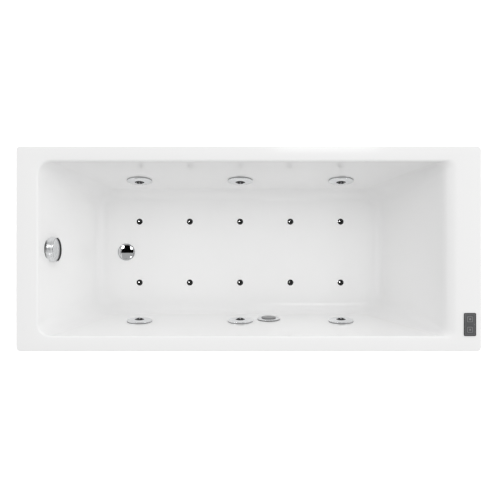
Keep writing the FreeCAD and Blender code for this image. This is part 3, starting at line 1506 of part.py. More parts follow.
def make_waste_body():
    x = mm.drain_x
    top = backing_bottom
    bottom = mm.waste_bottom
    radius = mm.waste_radius
    wall = mm.waste_wall
    inlet = Placement(Vector(float(x), 0, float(mm.overflow_run_level)), ALONG_MINUS_X)
    outlet = Placement(Vector(float(x), 0, float(mm.trap_level)), ALONG_X)
    cable = Placement(Vector(float(x), 0, float(mm.overflow_run_level)), Rotation(Vector(1, 0, 0), 90))
    solid = joined("waste_solid", [
        cylinder("waste_cup", radius, top - bottom, (x, 0, bottom)),
        cylinder("waste_inlet", mm.pipe_radius + 4, radius + 12, inlet),
        cylinder("waste_outlet", mm.trap_socket, mm.trap_reach, outlet),
        cylinder("waste_cable_boss", mm.cable_radius + 4, radius + 8, cable),
    ])
    hollows = [
        cylinder("waste_hollow", radius - wall, top - bottom, (x, 0, bottom + wall)),
        cylinder("waste_inlet_bore", mm.pipe_bore, radius + 12, inlet),
        cylinder("waste_inlet_seat", mm.pipe_radius + mm.slip, FAR_OUT,
                 Placement(Vector(float(x - radius) - 0.5, 0, float(mm.overflow_run_level)), ALONG_MINUS_X)),
        cylinder("waste_outlet_bore", mm.trap_bore, mm.trap_reach, outlet),
        cylinder("waste_outlet_seat", mm.trap_radius + mm.slip, FAR_OUT,
                 Placement(Vector(float(x + radius) - 1, 0, float(mm.trap_level)), ALONG_X)),
        cylinder("waste_cable_seat", mm.cable_radius + mm.slip, radius + 8,
                 cable.multiply(Placement(Vector(0, 0, float(radius) - 3), UPRIGHT))),
    ]
    node("waste_body", cut("waste_body", solid, hollows))


def make_trap():
    """A shallow trap: down, along, up, then out under the frame to a plain spigot."""
    x = float(mm.drain_x + mm.waste_radius)
    high = float(mm.trap_level)
    low = float(mm.trap_bottom)
    fall_x = x + float(mm.trap_fall)
    rise_x = fall_x + float(mm.trap_run)
    end_y = float(mm.outlet_end - mm.outlet_length)
    points = [(x, 0, high), (fall_x, 0, high), (fall_x, 0, low), (rise_x, 0, low), (rise_x, 0, high),
              (rise_x, end_y, high)]
    spigot_start = Vector(rise_x, end_y, high)
    ahead = Vector(0, 1, 0)
    length = float(mm.outlet_length)
    outer = swept(points, mm.trap_bend, mm.trap_radius)
    outer = outer.fuse(Part.makeCylinder(float(mm.outlet_radius), length, spigot_start, ahead))
    inner = swept(points, mm.trap_bend, mm.trap_bore)
    inner = inner.fuse(Part.makeCylinder(float(mm.trap_bore), length, spigot_start, ahead))
    node("waste_trap", feature("waste_trap", outer.cut(inner)))


def make_plug_cable():
    """The cable that the knob pulls: held at the overflow body and at the waste body."""
    start = overflow_chamber_point()
    side = -float(mm.cable_side)
    low = float(mm.overflow_run_level)
    drain_x = float(mm.drain_x)
    points = [(start.x, -float(mm.overflow_chamber) + 2, start.z), (start.x, side, start.z),
              (start.x, side, low), (drain_x, side, low), (drain_x, -float(mm.waste_radius) + 1, low)]
    node("plug_cable", feature("plug_cable", swept(points, mm.cable_bend, mm.cable_radius)))


# ---------------------------------------------------------------- build, check and write

make_shell()
make_backing()
make_board()
make_rails()
make_cross_members()
make_uprights()
make_trays()
make_feet()
make_wall_fittings()
make_jet_faces()
make_jet_nozzles()
make_suction()
make_air_jets()
make_water_manifold()
make_suction_pipe()
make_air_manifold()
make_pump()
make_motor()
make_pump_mounts()
make_blower()
make_control_box()
make_keypad()
make_overflow()
make_rosette()
make_knob()
make_overflow_pipe()
make_drain()
make_waste_body()
make_trap()
make_plug_cable()
doc.recompute()

broken = [f"{piece.Name}: {piece.getStatusString()}" for piece in doc.Objects
          if "Invalid" in piece.State or "Error" in piece.State]
if broken:
    raise RuntimeError(f"these objects failed: {broken}")

os.makedirs("parts", exist_ok=True)
for name, piece in nodes.items():
    shape = piece.Shape
    if shape.isNull() or not shape.isValid() or not shape.Solids:
        raise RuntimeError(f"{name} has no sound solid")
    shape.exportStep(f"parts/{name}.step")
    print(f"{name:24} {len(shape.Solids):3} solids {shape.Volume / 1000:10.1f} cm3")
print(len(nodes), "nodes")
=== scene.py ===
import json
import math
import bmesh
import bpy
from mathutils import Matrix, Vector


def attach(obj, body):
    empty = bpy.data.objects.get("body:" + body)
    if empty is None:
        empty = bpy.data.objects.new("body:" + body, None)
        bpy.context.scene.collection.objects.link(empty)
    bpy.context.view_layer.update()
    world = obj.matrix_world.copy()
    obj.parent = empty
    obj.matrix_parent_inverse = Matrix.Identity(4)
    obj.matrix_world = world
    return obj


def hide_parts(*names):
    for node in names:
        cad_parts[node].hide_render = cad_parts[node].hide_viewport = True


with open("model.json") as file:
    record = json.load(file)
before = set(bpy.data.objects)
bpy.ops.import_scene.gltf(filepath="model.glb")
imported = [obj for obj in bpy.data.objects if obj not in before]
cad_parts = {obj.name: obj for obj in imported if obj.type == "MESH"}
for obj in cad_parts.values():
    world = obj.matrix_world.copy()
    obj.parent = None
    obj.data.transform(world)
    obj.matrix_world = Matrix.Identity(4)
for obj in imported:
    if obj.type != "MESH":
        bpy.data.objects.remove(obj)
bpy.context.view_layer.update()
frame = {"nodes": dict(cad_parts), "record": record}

MM = 0.001
scene = bpy.context.scene

# ---------------------------------------------------------------- camera and light

camera_data = bpy.data.cameras.new("camera")
camera_data.lens = 69.0
camera_data.sensor_width = 36.0
camera_data.shift_y = 0.062
camera_data.clip_end = 50.0
camera = bpy.data.objects.new("camera", camera_data)
camera.location = (0.0046, -0.1178, 4.09)
scene.collection.objects.link(camera)
scene.camera = camera
scene.view_settings.view_transform = "Standard"

SOFTBOXES = (
    # name, place and size in metres, radiance
    ("softbox_north_east", (0.45, 1.15, 2.7), (0.60, 0.95), 2.4),
    ("softbox_south_east", (0.30, -1.15, 2.7), (0.40, 0.40), 2.4),
    ("softbox_west", (-2.90, 0.25, 2.6), (0.50, 1.10), 2.4),
    ("softbox_east", (2.60, 0.10, 2.5), (0.40, 1.20), 2.4),
)
GLINTS = (
    # lights that show only as reflections, and not in the acrylic
    ("softbox_north_west", (-1.65, 1.30, 2.7), (0.50, 0.70), 10.0),
    ("core_north_east", (0.45, 1.15, 2.69), (0.12, 0.12), 14.0),
    ("core_west", (-2.90, 0.45, 2.59), (0.10, 0.35), 12.0),
    ("core_east", (2.60, 0.10, 2.49), (0.08, 0.90), 7.0),
    ("core_south_west", (-2.10, -2.60, 2.70), (0.30, 0.30), 12.0),
    ("card_south", (-0.70, -0.36, 1.2), (1.50, 0.62), 0.42),
)
CAP_GLINT = ("cap_glint", (-1.15, 0.50, 2.60), (0.60, 0.60), 330.0)    # for the air jet domes alone


def add_softbox(name, place, size, radiance, glint=False):
    """A soft rectangular light that faces down; its power follows its size and radiance."""
    light = bpy.data.lights.new(name, "AREA")
    light.shape = "RECTANGLE"
    light.size, light.size_y = size
    light.energy = radiance * math.pi * size[0] * size[1]
    box = bpy.data.objects.new(name, light)
    box.location = place
    box.visible_camera = False
    box.visible_diffuse = not glint
    scene.collection.objects.link(box)
    return box


glints = [add_softbox(*settings, glint=True) for settings in GLINTS]
cap_glint = add_softbox(*CAP_GLINT, glint=True)
for settings in SOFTBOXES:
    add_softbox(*settings)

FILL = (0.713, 0.31, 0.405, 0.514)     # even light, and its rise towards +X, +Y and +Z
ROOM = 0.62                            # what reflections show of the room
DARK = 0.002                           # and overhead, where the ceiling is unlit
DARK_X = (-0.57, 0.70)                 # the unlit field's edges, as X / Z and Y / Z
DARK_Y = (-0.75, 3.00)
DARK_BLUR = 0.03
LOWEST_Z = 0.02                        # keeps X / Z and Y / Z finite at the horizon


def make_world():
    """A fill for what is matt, a room with a dark ceiling for reflections, white for the camera."""
    world = bpy.data.worlds.new("studio")
    world.use_nodes = True
    nodes = world.node_tree.nodes
    links = world.node_tree.links
    nodes.clear()

    def math_node(operation, *values):
        node = nodes.new("ShaderNodeMath")
        node.operation = operation
        for index, value in enumerate(values):
            if isinstance(value, (int, float)):
                node.inputs[index].default_value = value
            else:
                links.new(value, node.inputs[index])
        return node.outputs[0]

    def step_up(value, edge):
        node = nodes.new("ShaderNodeMapRange")
        node.interpolation_type = "SMOOTHSTEP"
        node.inputs["From Min"].default_value = edge - DARK_BLUR
        node.inputs["From Max"].default_value = edge + DARK_BLUR
        links.new(value, node.inputs["Value"])
        return node.outputs["Result"]

    place = nodes.new("ShaderNodeTexCoord")
    split = nodes.new("ShaderNodeSeparateXYZ")
    links.new(place.outputs["Generated"], split.inputs[0])
    x, y, z = split.outputs
    strength = math_node("MULTIPLY_ADD", x, FILL[1], FILL[0])
    strength = math_node("MULTIPLY_ADD", y, FILL[2], strength)
    strength = math_node("MULTIPLY_ADD", z, FILL[3], strength)
    fill = nodes.new("ShaderNodeBackground")
    links.new(math_node("MAXIMUM", strength, 0.0), fill.inputs["Strength"])
    up = math_node("MAXIMUM", z, LOWEST_Z)
    lean_x = math_node("DIVIDE", x, up)
    lean_y = math_node("DIVIDE", y, up)
    inside = math_node("MULTIPLY", step_up(lean_x, DARK_X[0]),
                       math_node("SUBTRACT", 1.0, step_up(lean_x, DARK_X[1])))
    inside = math_node("MULTIPLY", inside, step_up(lean_y, DARK_Y[0]))
    inside = math_node("MULTIPLY", inside, math_node("SUBTRACT", 1.0, step_up(lean_y, DARK_Y[1])))
    room = nodes.new("ShaderNodeBackground")
    links.new(math_node("MULTIPLY_ADD", inside, DARK - ROOM, ROOM), room.inputs["Strength"])
    ray = nodes.new("ShaderNodeLightPath")
    mix = nodes.new("ShaderNodeMixShader")
    links.new(ray.outputs["Is Glossy Ray"], mix.inputs[0])
    links.new(fill.outputs[0], mix.inputs[1])
    links.new(room.outputs[0], mix.inputs[2])
    backdrop = nodes.new("ShaderNodeBackground")
    backdrop.inputs["Color"].default_value = (1.0, 1.0, 1.0, 1.0)
    seen = nodes.new("ShaderNodeMixShader")
    links.new(ray.outputs["Is Camera Ray"], seen.inputs[0])
    links.new(mix.outputs[0], seen.inputs[1])
    links.new(backdrop.outputs[0], seen.inputs[2])
    out = nodes.new("ShaderNodeOutputWorld")
    links.new(seen.outputs[0], out.inputs["Surface"])
    scene.world = world


make_world()


# ---------------------------------------------------------------- materials

TINT_SPAN = (0.25, 0.75)               # where most of a noise's values lie
ROUGH_SPAN = (0.3, 0.7)


class Finish:
    """A node material with its main shader, and the texture nodes that drive it."""

    def __init__(self, name, color, roughness, metallic=0.0):
        self.material = bpy.data.materials.new(name)
        self.material.use_nodes = True
        self.tree = self.material.node_tree
        self.shader = self.tree.nodes["Principled BSDF"]
        self.shader.inputs["Base Color"].default_value = (*color, 1.0)
        self.shader.inputs["Roughness"].default_value = roughness
        self.shader.inputs["Metallic"].default_value = metallic
        self.place = self.tree.nodes.new("ShaderNodeTexCoord").outputs["Object"]

    def new(self, kind):
        return self.tree.nodes.new(kind)

    def link(self, output, socket):
        self.tree.links.new(output, socket)

    def stretched(self, scale, turn):
        """Object coordinates, turned and stretched."""
        mapping = self.new("ShaderNodeMapping")
        mapping.inputs["Scale"].default_value = scale
        mapping.inputs["Rotation"].default_value = turn
        self.link(self.place, mapping.inputs["Vector"])
        return mapping.outputs["Vector"]

    def noise(self, scale, detail, place=None, distortion=0.0):
        texture = self.new("ShaderNodeTexNoise")
        texture.inputs["Scale"].default_value = scale
        texture.inputs["Detail"].default_value = detail
        texture.inputs["Distortion"].default_value = distortion
        self.link(place or self.place, texture.inputs["Vector"])
        return texture.outputs["Fac"]

    def cells(self, scale, place=None):
        """Cells that each have one grey."""
        texture = self.new("ShaderNodeTexVoronoi")
        texture.inputs["Scale"].default_value = scale
        self.link(place or self.place, texture.inputs["Vector"])
        grey = self.new("ShaderNodeRGBToBW")
        self.link(texture.outputs["Color"], grey.inputs["Color"])
        return grey.outputs["Val"]

    def ramp(self, value, stops):
        """Colours along a value; the first two stops are its ends."""
        node = self.new("ShaderNodeValToRGB")
        ramp = node.color_ramp
        for index, (position, color) in enumerate(stops):
            element = ramp.elements[index] if index < 2 else ramp.elements.new(position)
            element.position = position
            element.color = (*color, 1.0)
        self.link(value, node.inputs["Fac"])
        return node.outputs["Color"]

    def span(self, value, low, high, low_in=0.0, high_in=1.0):
        node = self.new("ShaderNodeMapRange")
        node.inputs["From Min"].default_value = low_in
        node.inputs["From Max"].default_value = high_in
        node.inputs["To Min"].default_value = low
        node.inputs["To Max"].default_value = high
        self.link(value, node.inputs["Value"])
        return node.outputs["Result"]

    def added(self, first, second):
        node = self.new("ShaderNodeMath")
        node.operation = "ADD"
        self.link(first, node.inputs[0])
        self.link(second, node.inputs[1])
        return node.outputs[0]

    def tint(self, value, dark, light):
        """Base colour between two tones."""
        stops = zip(TINT_SPAN, (dark, light))
        self.link(self.ramp(value, stops), self.shader.inputs["Base Color"])

    def rough(self, value, low, high):
        self.link(self.span(value, low, high, *ROUGH_SPAN), self.shader.inputs["Roughness"])

    def bump(self, value, height_mm, strength):
        node = self.new("ShaderNodeBump")
        node.inputs["Distance"].default_value = height_mm * MM
        node.inputs["Strength"].default_value = strength
        self.link(value, node.inputs["Height"])
        self.link(node.outputs["Normal"], self.shader.inputs["Normal"])


def acrylic():
    finish = Finish("acrylic_gloss", (0.95, 0.95, 0.948), 0.06)
    finish.tint(finish.noise(3.0, 3.0), (0.946, 0.946, 0.944), (0.954, 0.954, 0.953))
    finish.rough(finish.noise(40.0, 3.0), 0.09, 0.13)
    finish.bump(finish.noise(55.0, 2.0), 0.02, 0.35)
    finish.shader.inputs["Specular IOR Level"].default_value = 0.4
    finish.shader.inputs["Coat Weight"].default_value = 0.08
    finish.shader.inputs["Coat Roughness"].default_value = 0.03
    return finish.material


def fibreglass():
    finish = Finish("fibreglass_rough", (0.80, 0.78, 0.70), 0.55)
    along = finish.noise(1.0, 2.0, finish.stretched((420, 40, 260), (0.3, 0.2, 0.5)), 0.6)
    across = finish.noise(1.0, 2.0, finish.stretched((50, 380, 300), (0.5, 0.1, -0.6)), 0.6)
    both = finish.added(finish.span(along, 0.0, 0.5), finish.span(across, 0.0, 0.5))
    finish.tint(both, (0.60, 0.57, 0.47), (0.84, 0.82, 0.75))
    finish.rough(finish.noise(20.0, 3.0), 0.35, 0.7)
    finish.bump(both, 0.8, 0.8)
    return finish.material


def board():
    finish = Finish("chipboard", (0.72, 0.60, 0.44), 0.7)
    chips = finish.cells(170.0, finish.stretched((1.0, 0.45, 1.6), (0, 0, 0.6)))
    tones = ((0.1, (0.30, 0.20, 0.11)), (0.9, (0.66, 0.52, 0.34)), (0.5, (0.50, 0.37, 0.22)))
    finish.link(finish.ramp(chips, tones), finish.shader.inputs["Base Color"])
    finish.bump(chips, 0.25, 0.5)
    finish.shader.inputs["Coat Weight"].default_value = 0.3
    finish.shader.inputs["Coat Roughness"].default_value = 0.25
    return finish.material


def galvanised():
    finish = Finish("galvanised_steel", (0.62, 0.64, 0.66), 0.4, 1.0)
    spangle = finish.cells(85.0)
    finish.tint(spangle, (0.50, 0.52, 0.54), (0.68, 0.70, 0.72))
    finish.rough(spangle, 0.28, 0.5)
    finish.bump(finish.noise(300.0, 3.0), 0.05, 0.4)
    return finish.material


def zinc():
    finish = Finish("zinc_plate", (0.72, 0.71, 0.68), 0.3, 1.0)
    finish.tint(finish.noise(35.0, 3.0), (0.64, 0.62, 0.58), (0.76, 0.76, 0.74))
    finish.rough(finish.noise(90.0, 4.0), 0.22, 0.4)
    finish.bump(finish.noise(600.0, 2.0), 0.02, 0.4)
    return finish.material


def chrome():
    finish = Finish("chrome_plate", (0.80, 0.81, 0.82), 0.05, 1.0)
    finish.tint(finish.noise(25.0, 2.0), (0.78, 0.79, 0.80), (0.82, 0.83, 0.84))
    finish.rough(finish.noise(120.0, 4.0), 0.02, 0.045)
    finish.bump(finish.noise(500.0, 2.0), 0.003, 0.3)
    return finish.material


def black_chrome():
    finish = Finish("black_chrome", (0.04, 0.04, 0.04), 0.05, 1.0)
    finish.tint(finish.noise(25.0, 2.0), (0.035, 0.035, 0.035), (0.045, 0.045, 0.045))
    finish.rough(finish.noise(120.0, 4.0), 0.10, 0.14)
    finish.bump(finish.noise(500.0, 2.0), 0.004, 0.3)
    return finish.material


def satin_chrome():
    finish = Finish("satin_chrome", (0.82, 0.83, 0.84), 0.3, 1.0)
    finish.tint(finish.noise(25.0, 2.0), (0.80, 0.81, 0.82), (0.85, 0.86, 0.87))
    finish.rough(finish.noise(160.0, 3.0), 0.26, 0.36)
    finish.bump(finish.noise(700.0, 2.0), 0.006, 0.3)
    return finish.material


def plastic(name, dark, light, low, high, grain_scale, grain_mm, coat=0.0, gloss=0.5):
    finish = Finish(name, light, high)
    finish.tint(finish.noise(18.0, 3.0), dark, light)
    finish.rough(finish.noise(70.0, 3.0), low, high)
    finish.bump(finish.noise(grain_scale, 3.0), grain_mm, 0.5)
    finish.shader.inputs["Coat Weight"].default_value = coat
    finish.shader.inputs["Specular IOR Level"].default_value = gloss
    return finish.material


MATERIALS = {
    "acrylic": acrylic(),
    "fibreglass": fibreglass(),
    "board": board(),
    "galvanised": galvanised(),
    "zinc": zinc(),
    "chrome": chrome(),
    "nozzle_plastic": plastic("nozzle_dark", (0.010, 0.010, 0.011), (0.018, 0.018, 0.019),
                              0.18, 0.28, 400.0, 0.01, gloss=0.12),
    "grey_plastic": plastic("cover_grey", (0.25, 0.25, 0.255), (0.29, 0.29, 0.295),
                            0.28, 0.4, 500.0, 0.01),
    "pipe_plastic": plastic("pipe_white", (0.66, 0.67, 0.67), (0.72, 0.73, 0.73),
                            0.25, 0.4, 250.0, 0.02),
    "black_plastic": plastic("moulded_black", (0.020, 0.020, 0.022), (0.032, 0.032, 0.034),
                             0.35, 0.5, 900.0, 0.03),
    "motor_paint": plastic("motor_enamel", (0.075, 0.09, 0.105), (0.10, 0.12, 0.14),
                           0.3, 0.45, 160.0, 0.06, coat=0.3),
    "box_plastic": plastic("box_grey", (0.44, 0.45, 0.46), (0.50, 0.51, 0.52),
                           0.4, 0.55, 900.0, 0.03),
    "keypad_grey": plastic("keypad_satin", (0.105, 0.108, 0.112), (0.125, 0.128, 0.132),
                           0.3, 0.4, 900.0, 0.01),
    "seal_rubber": plastic("seal_black", (0.014, 0.014, 0.014), (0.024, 0.024, 0.024),
                           0.6, 0.8, 500.0, 0.03),
}
slot_of = {part["node"]: part["material_slot"] for part in frame["record"]["subparts"]}

for node_name, node in frame["nodes"].items():
    for slot in node.material_slots:
        slot.material = MATERIALS[slot_of[node_name]]


# ---------------------------------------------------------------- mesh helpers

def mesh_piece(name, points, faces):
    """A mesh object from points in millimetres, with its outside facing out."""
    mesh = bpy.data.meshes.new(name)
    mesh.from_pydata([Vector(point) * MM for point in points], [], faces)
    work = bmesh.new()
    work.from_mesh(mesh)
    bmesh.ops.recalc_face_normals(work, faces=work.faces)
    work.to_mesh(mesh)
    work.free()
    piece = bpy.data.objects.new(name, mesh)
    scene.collection.objects.link(piece)
    return piece


def baked(piece):
    """Applies the piece's modifiers to its mesh."""
    graph = bpy.context.evaluated_depsgraph_get()
    mesh = bpy.data.meshes.new_from_object(piece.evaluated_get(graph))
    piece.modifiers.clear()
    old = piece.data
    piece.data = mesh
    bpy.data.meshes.remove(old)


def carve(piece, cutters):
    """Takes the cutters, which vanish, out of the piece."""
    for cutter in cutters:
        modifier = piece.modifiers.new("cut", "BOOLEAN")
        modifier.object = cutter
        modifier.operation = "DIFFERENCE"
        modifier.solver = "EXACT"
    baked(piece)
    for cutter in cutters:
        bpy.data.objects.remove(cutter)


def soften_edges(piece, width, segments, angle):
    """Rounds the edges that turn by more than the angle."""
    modifier = piece.modifiers.new("edges", "BEVEL")
    modifier.width = width * MM
    modifier.segments = segments
    modifier.limit_method = "ANGLE"
    modifier.angle_limit = math.radians(angle)
    baked(piece)


def dress(piece, body, slot, *nodes, sharp=40.0):
    """Gives a finished piece its shading, material and body, and hides the nodes that it stands
    for.
    """
    mesh = piece.data
    mesh.polygons.foreach_set("use_smooth", [True] * len(mesh.polygons))
    mesh.set_sharp_from_angle(angle=math.radians(sharp))
    mesh.materials.clear()
    mesh.materials.append(MATERIALS[slot])
    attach(piece, body)
    if nodes:
        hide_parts(*nodes)
    return piece


def merged(name, pieces):
    """One object from several, each with its own closed mesh."""
    work = bmesh.new()
    for piece in pieces:
        work.from_mesh(piece.data)
        mesh = piece.data
        bpy.data.objects.remove(piece)
        bpy.data.meshes.remove(mesh)
    mesh = bpy.data.meshes.new(name)
    work.to_mesh(mesh)
    work.free()
    piece = bpy.data.objects.new(name, mesh)
    scene.collection.objects.link(piece)
    return piece


def axes(origin, out, across):
    """A frame at origin in millimetres, with Z along out and X along across."""
    z_axis = Vector(out).normalized()
    x_axis = Vector(across)
    x_axis = (x_axis - z_axis * x_axis.dot(z_axis)).normalized()
    y_axis = z_axis.cross(x_axis)
    turn = Matrix((x_axis, y_axis, z_axis)).transposed().to_4x4()
    return Matrix.Translation(Vector(origin)) @ turn


def turned(place, degrees, reach=0.0):
    """The place turned about its own Z, then moved out along its own X."""
    return (place @ Matrix.Rotation(math.radians(degrees), 4, "Z")
            @ Matrix.Translation((reach, 0, 0)))


ARC_STEPS = 6                          # in each rounded corner of a profile


def arc_profile(profile):
    """Replaces each corner given as (r, z, radius) by an arc."""
    made = []
    count = len(profile)
    for index, point in enumerate(profile):
        here = Vector(point[:2])
        if len(point) == 2 or index in (0, count - 1):
            made.append(tuple(here))
            continue
        before = (Vector(profile[index - 1][:2]) - here).normalized()
        after = (Vector(profile[index + 1][:2]) - here).normalized()
        half = before.angle(after) / 2
        reach = point[2] / math.tan(half)
        start = here + before * reach
        end = here + after * reach
        centre = here + (before + after).normalized() * (point[2] / math.sin(half))
        spoke = start - centre
        sweep = spoke.angle_signed(end - centre)
        for step in range(ARC_STEPS + 1):
            angle = -sweep * step / ARC_STEPS
            made.append((
                centre.x + spoke.x * math.cos(angle) - spoke.y * math.sin(angle),
                centre.y + spoke.x * math.sin(angle) + spoke.y * math.cos(angle)))
    return made


def lathe(name, profile, place, segments, loop=False):
    """A turned shape; the profile's (r, z) run from axis to axis, or round a loop."""
    outline = arc_profile(profile)
    points = []
    rings = []
    for radius, level in outline:
        if radius < 1e-6:
            rings.append([len(points)])
            points.append(place @ Vector((0, 0, level)))
            continue
        first = len(points)
        rings.append(list(range(first, first + segments)))
        for step in range(segments):
            angle = 2 * math.pi * step / segments
            point = Vector((radius * math.cos(angle), radius * math.sin(angle), level))
            points.append(place @ point)
    pairs = list(zip(rings, rings[1:]))
    if loop:
        pairs.append((rings[-1], rings[0]))
    faces = []
    for low, high in pairs:
        for step in range(segments):
            after = (step + 1) % segments
            if len(low) == 1 and len(high) == 1:
                break
            if len(low) == 1:
                faces.append((low[0], high[step], high[after]))
            elif len(high) == 1:
                faces.append((low[step], high[0], low[after]))
            else:
                faces.append((low[step], high[step], high[after], low[after]))
    return mesh_piece(name, points, faces)


def drum(name, radius, low, high, place, segments):
    """A plain cylinder."""
    return lathe(name, ((0, low), (radius, low), (radius, high), (0, high)), place, segments)


def block(name, low, high, place=Matrix.Identity(4)):
    """A plain box between two corners."""
    points = [place @ Vector((x, y, z)) for x in (low[0], high[0]) for y in (low[1], high[1])
              for z in (low[2], high[2])]
    faces = ((0, 1, 3, 2), (4, 6, 7, 5), (0, 4, 5, 1), (2, 3, 7, 6), (0, 2, 6, 4), (1, 5, 7, 3))
    return mesh_piece(name, points, faces)


# ---------------------------------------------------------------- the shell, with its exact curves

RIM_HEIGHT = 590.0
FLOOR_HEIGHT = 185.0
BATH_HALF_LENGTH = 850.0
BATH_HALF_WIDTH = 375.0
RIM_CORNER = 15.0
RIM_EDGE = 3.0
SKIRT_BOTTOM = 555.0
ACRYLIC = 5.0
FLOOR_FILLET = 55.0
FLOOR_CORNER = 88.0
DRAIN_CORNER = 48.0
HEAD_CORNER = 24.0
CORNER_STEPS = 14                      # of a ring's corner and of its sides
LONG_STEPS = 30
SHORT_STEPS = 12
CURVE_STEPS = 18                       # of a wall's fillet and of its roll
SMALLEST_ROLL = 0.5
FLAT_START = 60.0                      # extra levels on the flat of the walls, above the floor
FLAT_PITCH = 15.0
FLAT_COUNT = 20
CLOSEST_LEVELS = 0.12
RIM_STEPS = 8
SKIRT_BREAK = 0.8                      # at the two lower edges of the skirt


class Wall:
    """One flat basin wall: where its plane meets the floor and the rim, and its edge's roll."""

    def __init__(self, floor_line, rim_line, roll):
        self.floor_line = floor_line
        self.roll = roll
        self.draft = math.atan2(rim_line - floor_line, RIM_HEIGHT - FLOOR_HEIGHT)

    def plane(self, level, depth):
        lean = (level - FLOOR_HEIGHT) * math.tan(self.draft)
        return self.floor_line + lean + depth / math.cos(self.draft)

    def reach(self, level, depth=0.0):
        """How far from the middle the wall is at a level; depth counts into the acrylic."""
        low = FLOOR_HEIGHT - depth
        high = RIM_HEIGHT - depth
        fillet = FLOOR_FILLET + depth
        roll = max(self.roll - depth, SMALLEST_ROLL)
        slope = math.cos(self.draft)
        if level < low + fillet * (1 - math.sin(self.draft)):
            centre = self.plane(low + fillet, depth) - fillet / slope
            return centre + math.sqrt(max(fillet ** 2 - (low + fillet - level) ** 2, 0))
        if level > high - roll * (1 - math.sin(self.draft)):
            centre = self.plane(high - roll, depth) + roll / slope
            return centre - math.sqrt(max(roll ** 2 - (level - high + roll) ** 2, 0))
        return self.plane(level, depth)

    def levels(self, depth):
        """The levels at which the wall's curves are cut into bands."""
        low = FLOOR_HEIGHT - depth
        high = RIM_HEIGHT - depth
        fillet = FLOOR_FILLET + depth
        roll = max(self.roll - depth, SMALLEST_ROLL)
        quarter = math.pi / 2 - self.draft
        made = []
        for step in range(CURVE_STEPS + 1):
            turn = quarter * step / CURVE_STEPS
            made.append(low + fillet * (1 - math.cos(turn)))
            made.append(high - roll * (1 - math.cos(turn)))
        return made


drain_wall = Wall(606.0, 771.0, 10.0)
head_wall = Wall(528.0, 728.0, 60.0)
side_wall = Wall(244.0, 320.0, 10.0)


def plan_ring(low_x, high_x, half_width, low_corner, high_corner, level):
    """A rounded rectangle with the same number of points whatever its size."""
    corners = (
        (high_x, -half_width, high_corner, 270, LONG_STEPS),
        (high_x, half_width, high_corner, 0, SHORT_STEPS),
        (low_x, half_width, low_corner, 90, LONG_STEPS),
        (low_x, -half_width, low_corner, 180, SHORT_STEPS),
    )
    arcs = []
    for x, y, corner, angle, steps in corners:
        centre = Vector((x - math.copysign(corner, x), y - math.copysign(corner, y), level))
        arc = []
        for step in range(CORNER_STEPS + 1):
            turn = math.radians(angle + 90 * step / CORNER_STEPS)
            arc.append(centre + Vector((math.cos(turn), math.sin(turn), 0)) * corner)
        arcs.append(arc)
    ring = []
    for index, (arc, corner) in enumerate(zip(arcs, corners)):
        before = arcs[index - 1][-1]
        for step in range(1, corner[4]):
            ring.append(before.lerp(arc[0], step / corner[4]))
        ring.extend(arc)
    return ring


def basin_ring(level, depth):
    """The basin's outline at a level; its corners change in radius from the floor to the rim."""
    share = (level - FLOOR_HEIGHT) / (RIM_HEIGHT - FLOOR_HEIGHT)
    side = side_wall.reach(level, depth)
    shift = depth - (side_wall.plane(level, depth) - side)
    low_corner = FLOOR_CORNER * (1 - share) + DRAIN_CORNER * share + shift
    high_corner = FLOOR_CORNER * (1 - share) + HEAD_CORNER * share + shift
    return plan_ring(-drain_wall.reach(level, depth), head_wall.reach(level, depth), side,
                     low_corner, high_corner, level)


def basin_rings(depth):
    """Rings from the floor's edge up to the rim."""
    low = FLOOR_HEIGHT - depth
    high = RIM_HEIGHT - depth
    levels = set()
    for wall in (drain_wall, head_wall, side_wall):
        levels.update(wall.levels(depth))
    levels.update(low + FLAT_START + step * FLAT_PITCH for step in range(FLAT_COUNT))
    kept = [low]
    for level in sorted(levels):
        if level - kept[-1] > CLOSEST_LEVELS and high - level > CLOSEST_LEVELS:
            kept.append(level)
    kept.append(high)
    return [basin_ring(level, depth) for level in kept]


def rim_ring(inset, level):
    """The rim's outline at a level, moved in by the inset."""
    corner = RIM_CORNER - inset
    return plan_ring(-BATH_HALF_LENGTH + inset, BATH_HALF_LENGTH - inset, BATH_HALF_WIDTH - inset,
                     corner, corner, level)


def make_shell():
    """Rings up the basin, over the rim, down and up the skirt, and back down outside the basin."""
    rings = basin_rings(0.0)
    for step in range(RIM_STEPS + 1):
        turn = math.pi / 2 * step / RIM_STEPS
        rings.append(rim_ring(RIM_EDGE * (1 - math.sin(turn)),
                              RIM_HEIGHT - RIM_EDGE * (1 - math.cos(turn))))
    rings.append(rim_ring(0.0, SKIRT_BOTTOM + SKIRT_BREAK))
    rings.append(rim_ring(SKIRT_BREAK, SKIRT_BOTTOM))
    rings.append(rim_ring(ACRYLIC - SKIRT_BREAK, SKIRT_BOTTOM))
    rings.append(rim_ring(ACRYLIC, SKIRT_BOTTOM + SKIRT_BREAK))
    rings.append(rim_ring(ACRYLIC, RIM_HEIGHT - ACRYLIC))
    rings.extend(reversed(basin_rings(ACRYLIC)))
    count = len(rings[0])
    points = [point for ring in rings for point in ring]
    faces = []
    for band in range(len(rings) - 1):
        start = band * count
        for step in range(count):
            after = (step + 1) % count
            faces.append((start + step, start + after, start + count + after, start + count + step))
    faces.append(tuple(range(count)))
    faces.append(tuple(range(len(points) - count, len(points))))
    return mesh_piece("shell_acrylic", points, faces)


def wall_place(wall_side, x, level):
    """A frame on a long wall's inner surface, with Z into the basin and X level."""
    reach = side_wall.reach(level)
    out = Vector((0, -wall_side * math.cos(side_wall.draft), math.sin(side_wall.draft)))
    return axes((x, wall_side * reach, level), out, (wall_side, 0, 0))


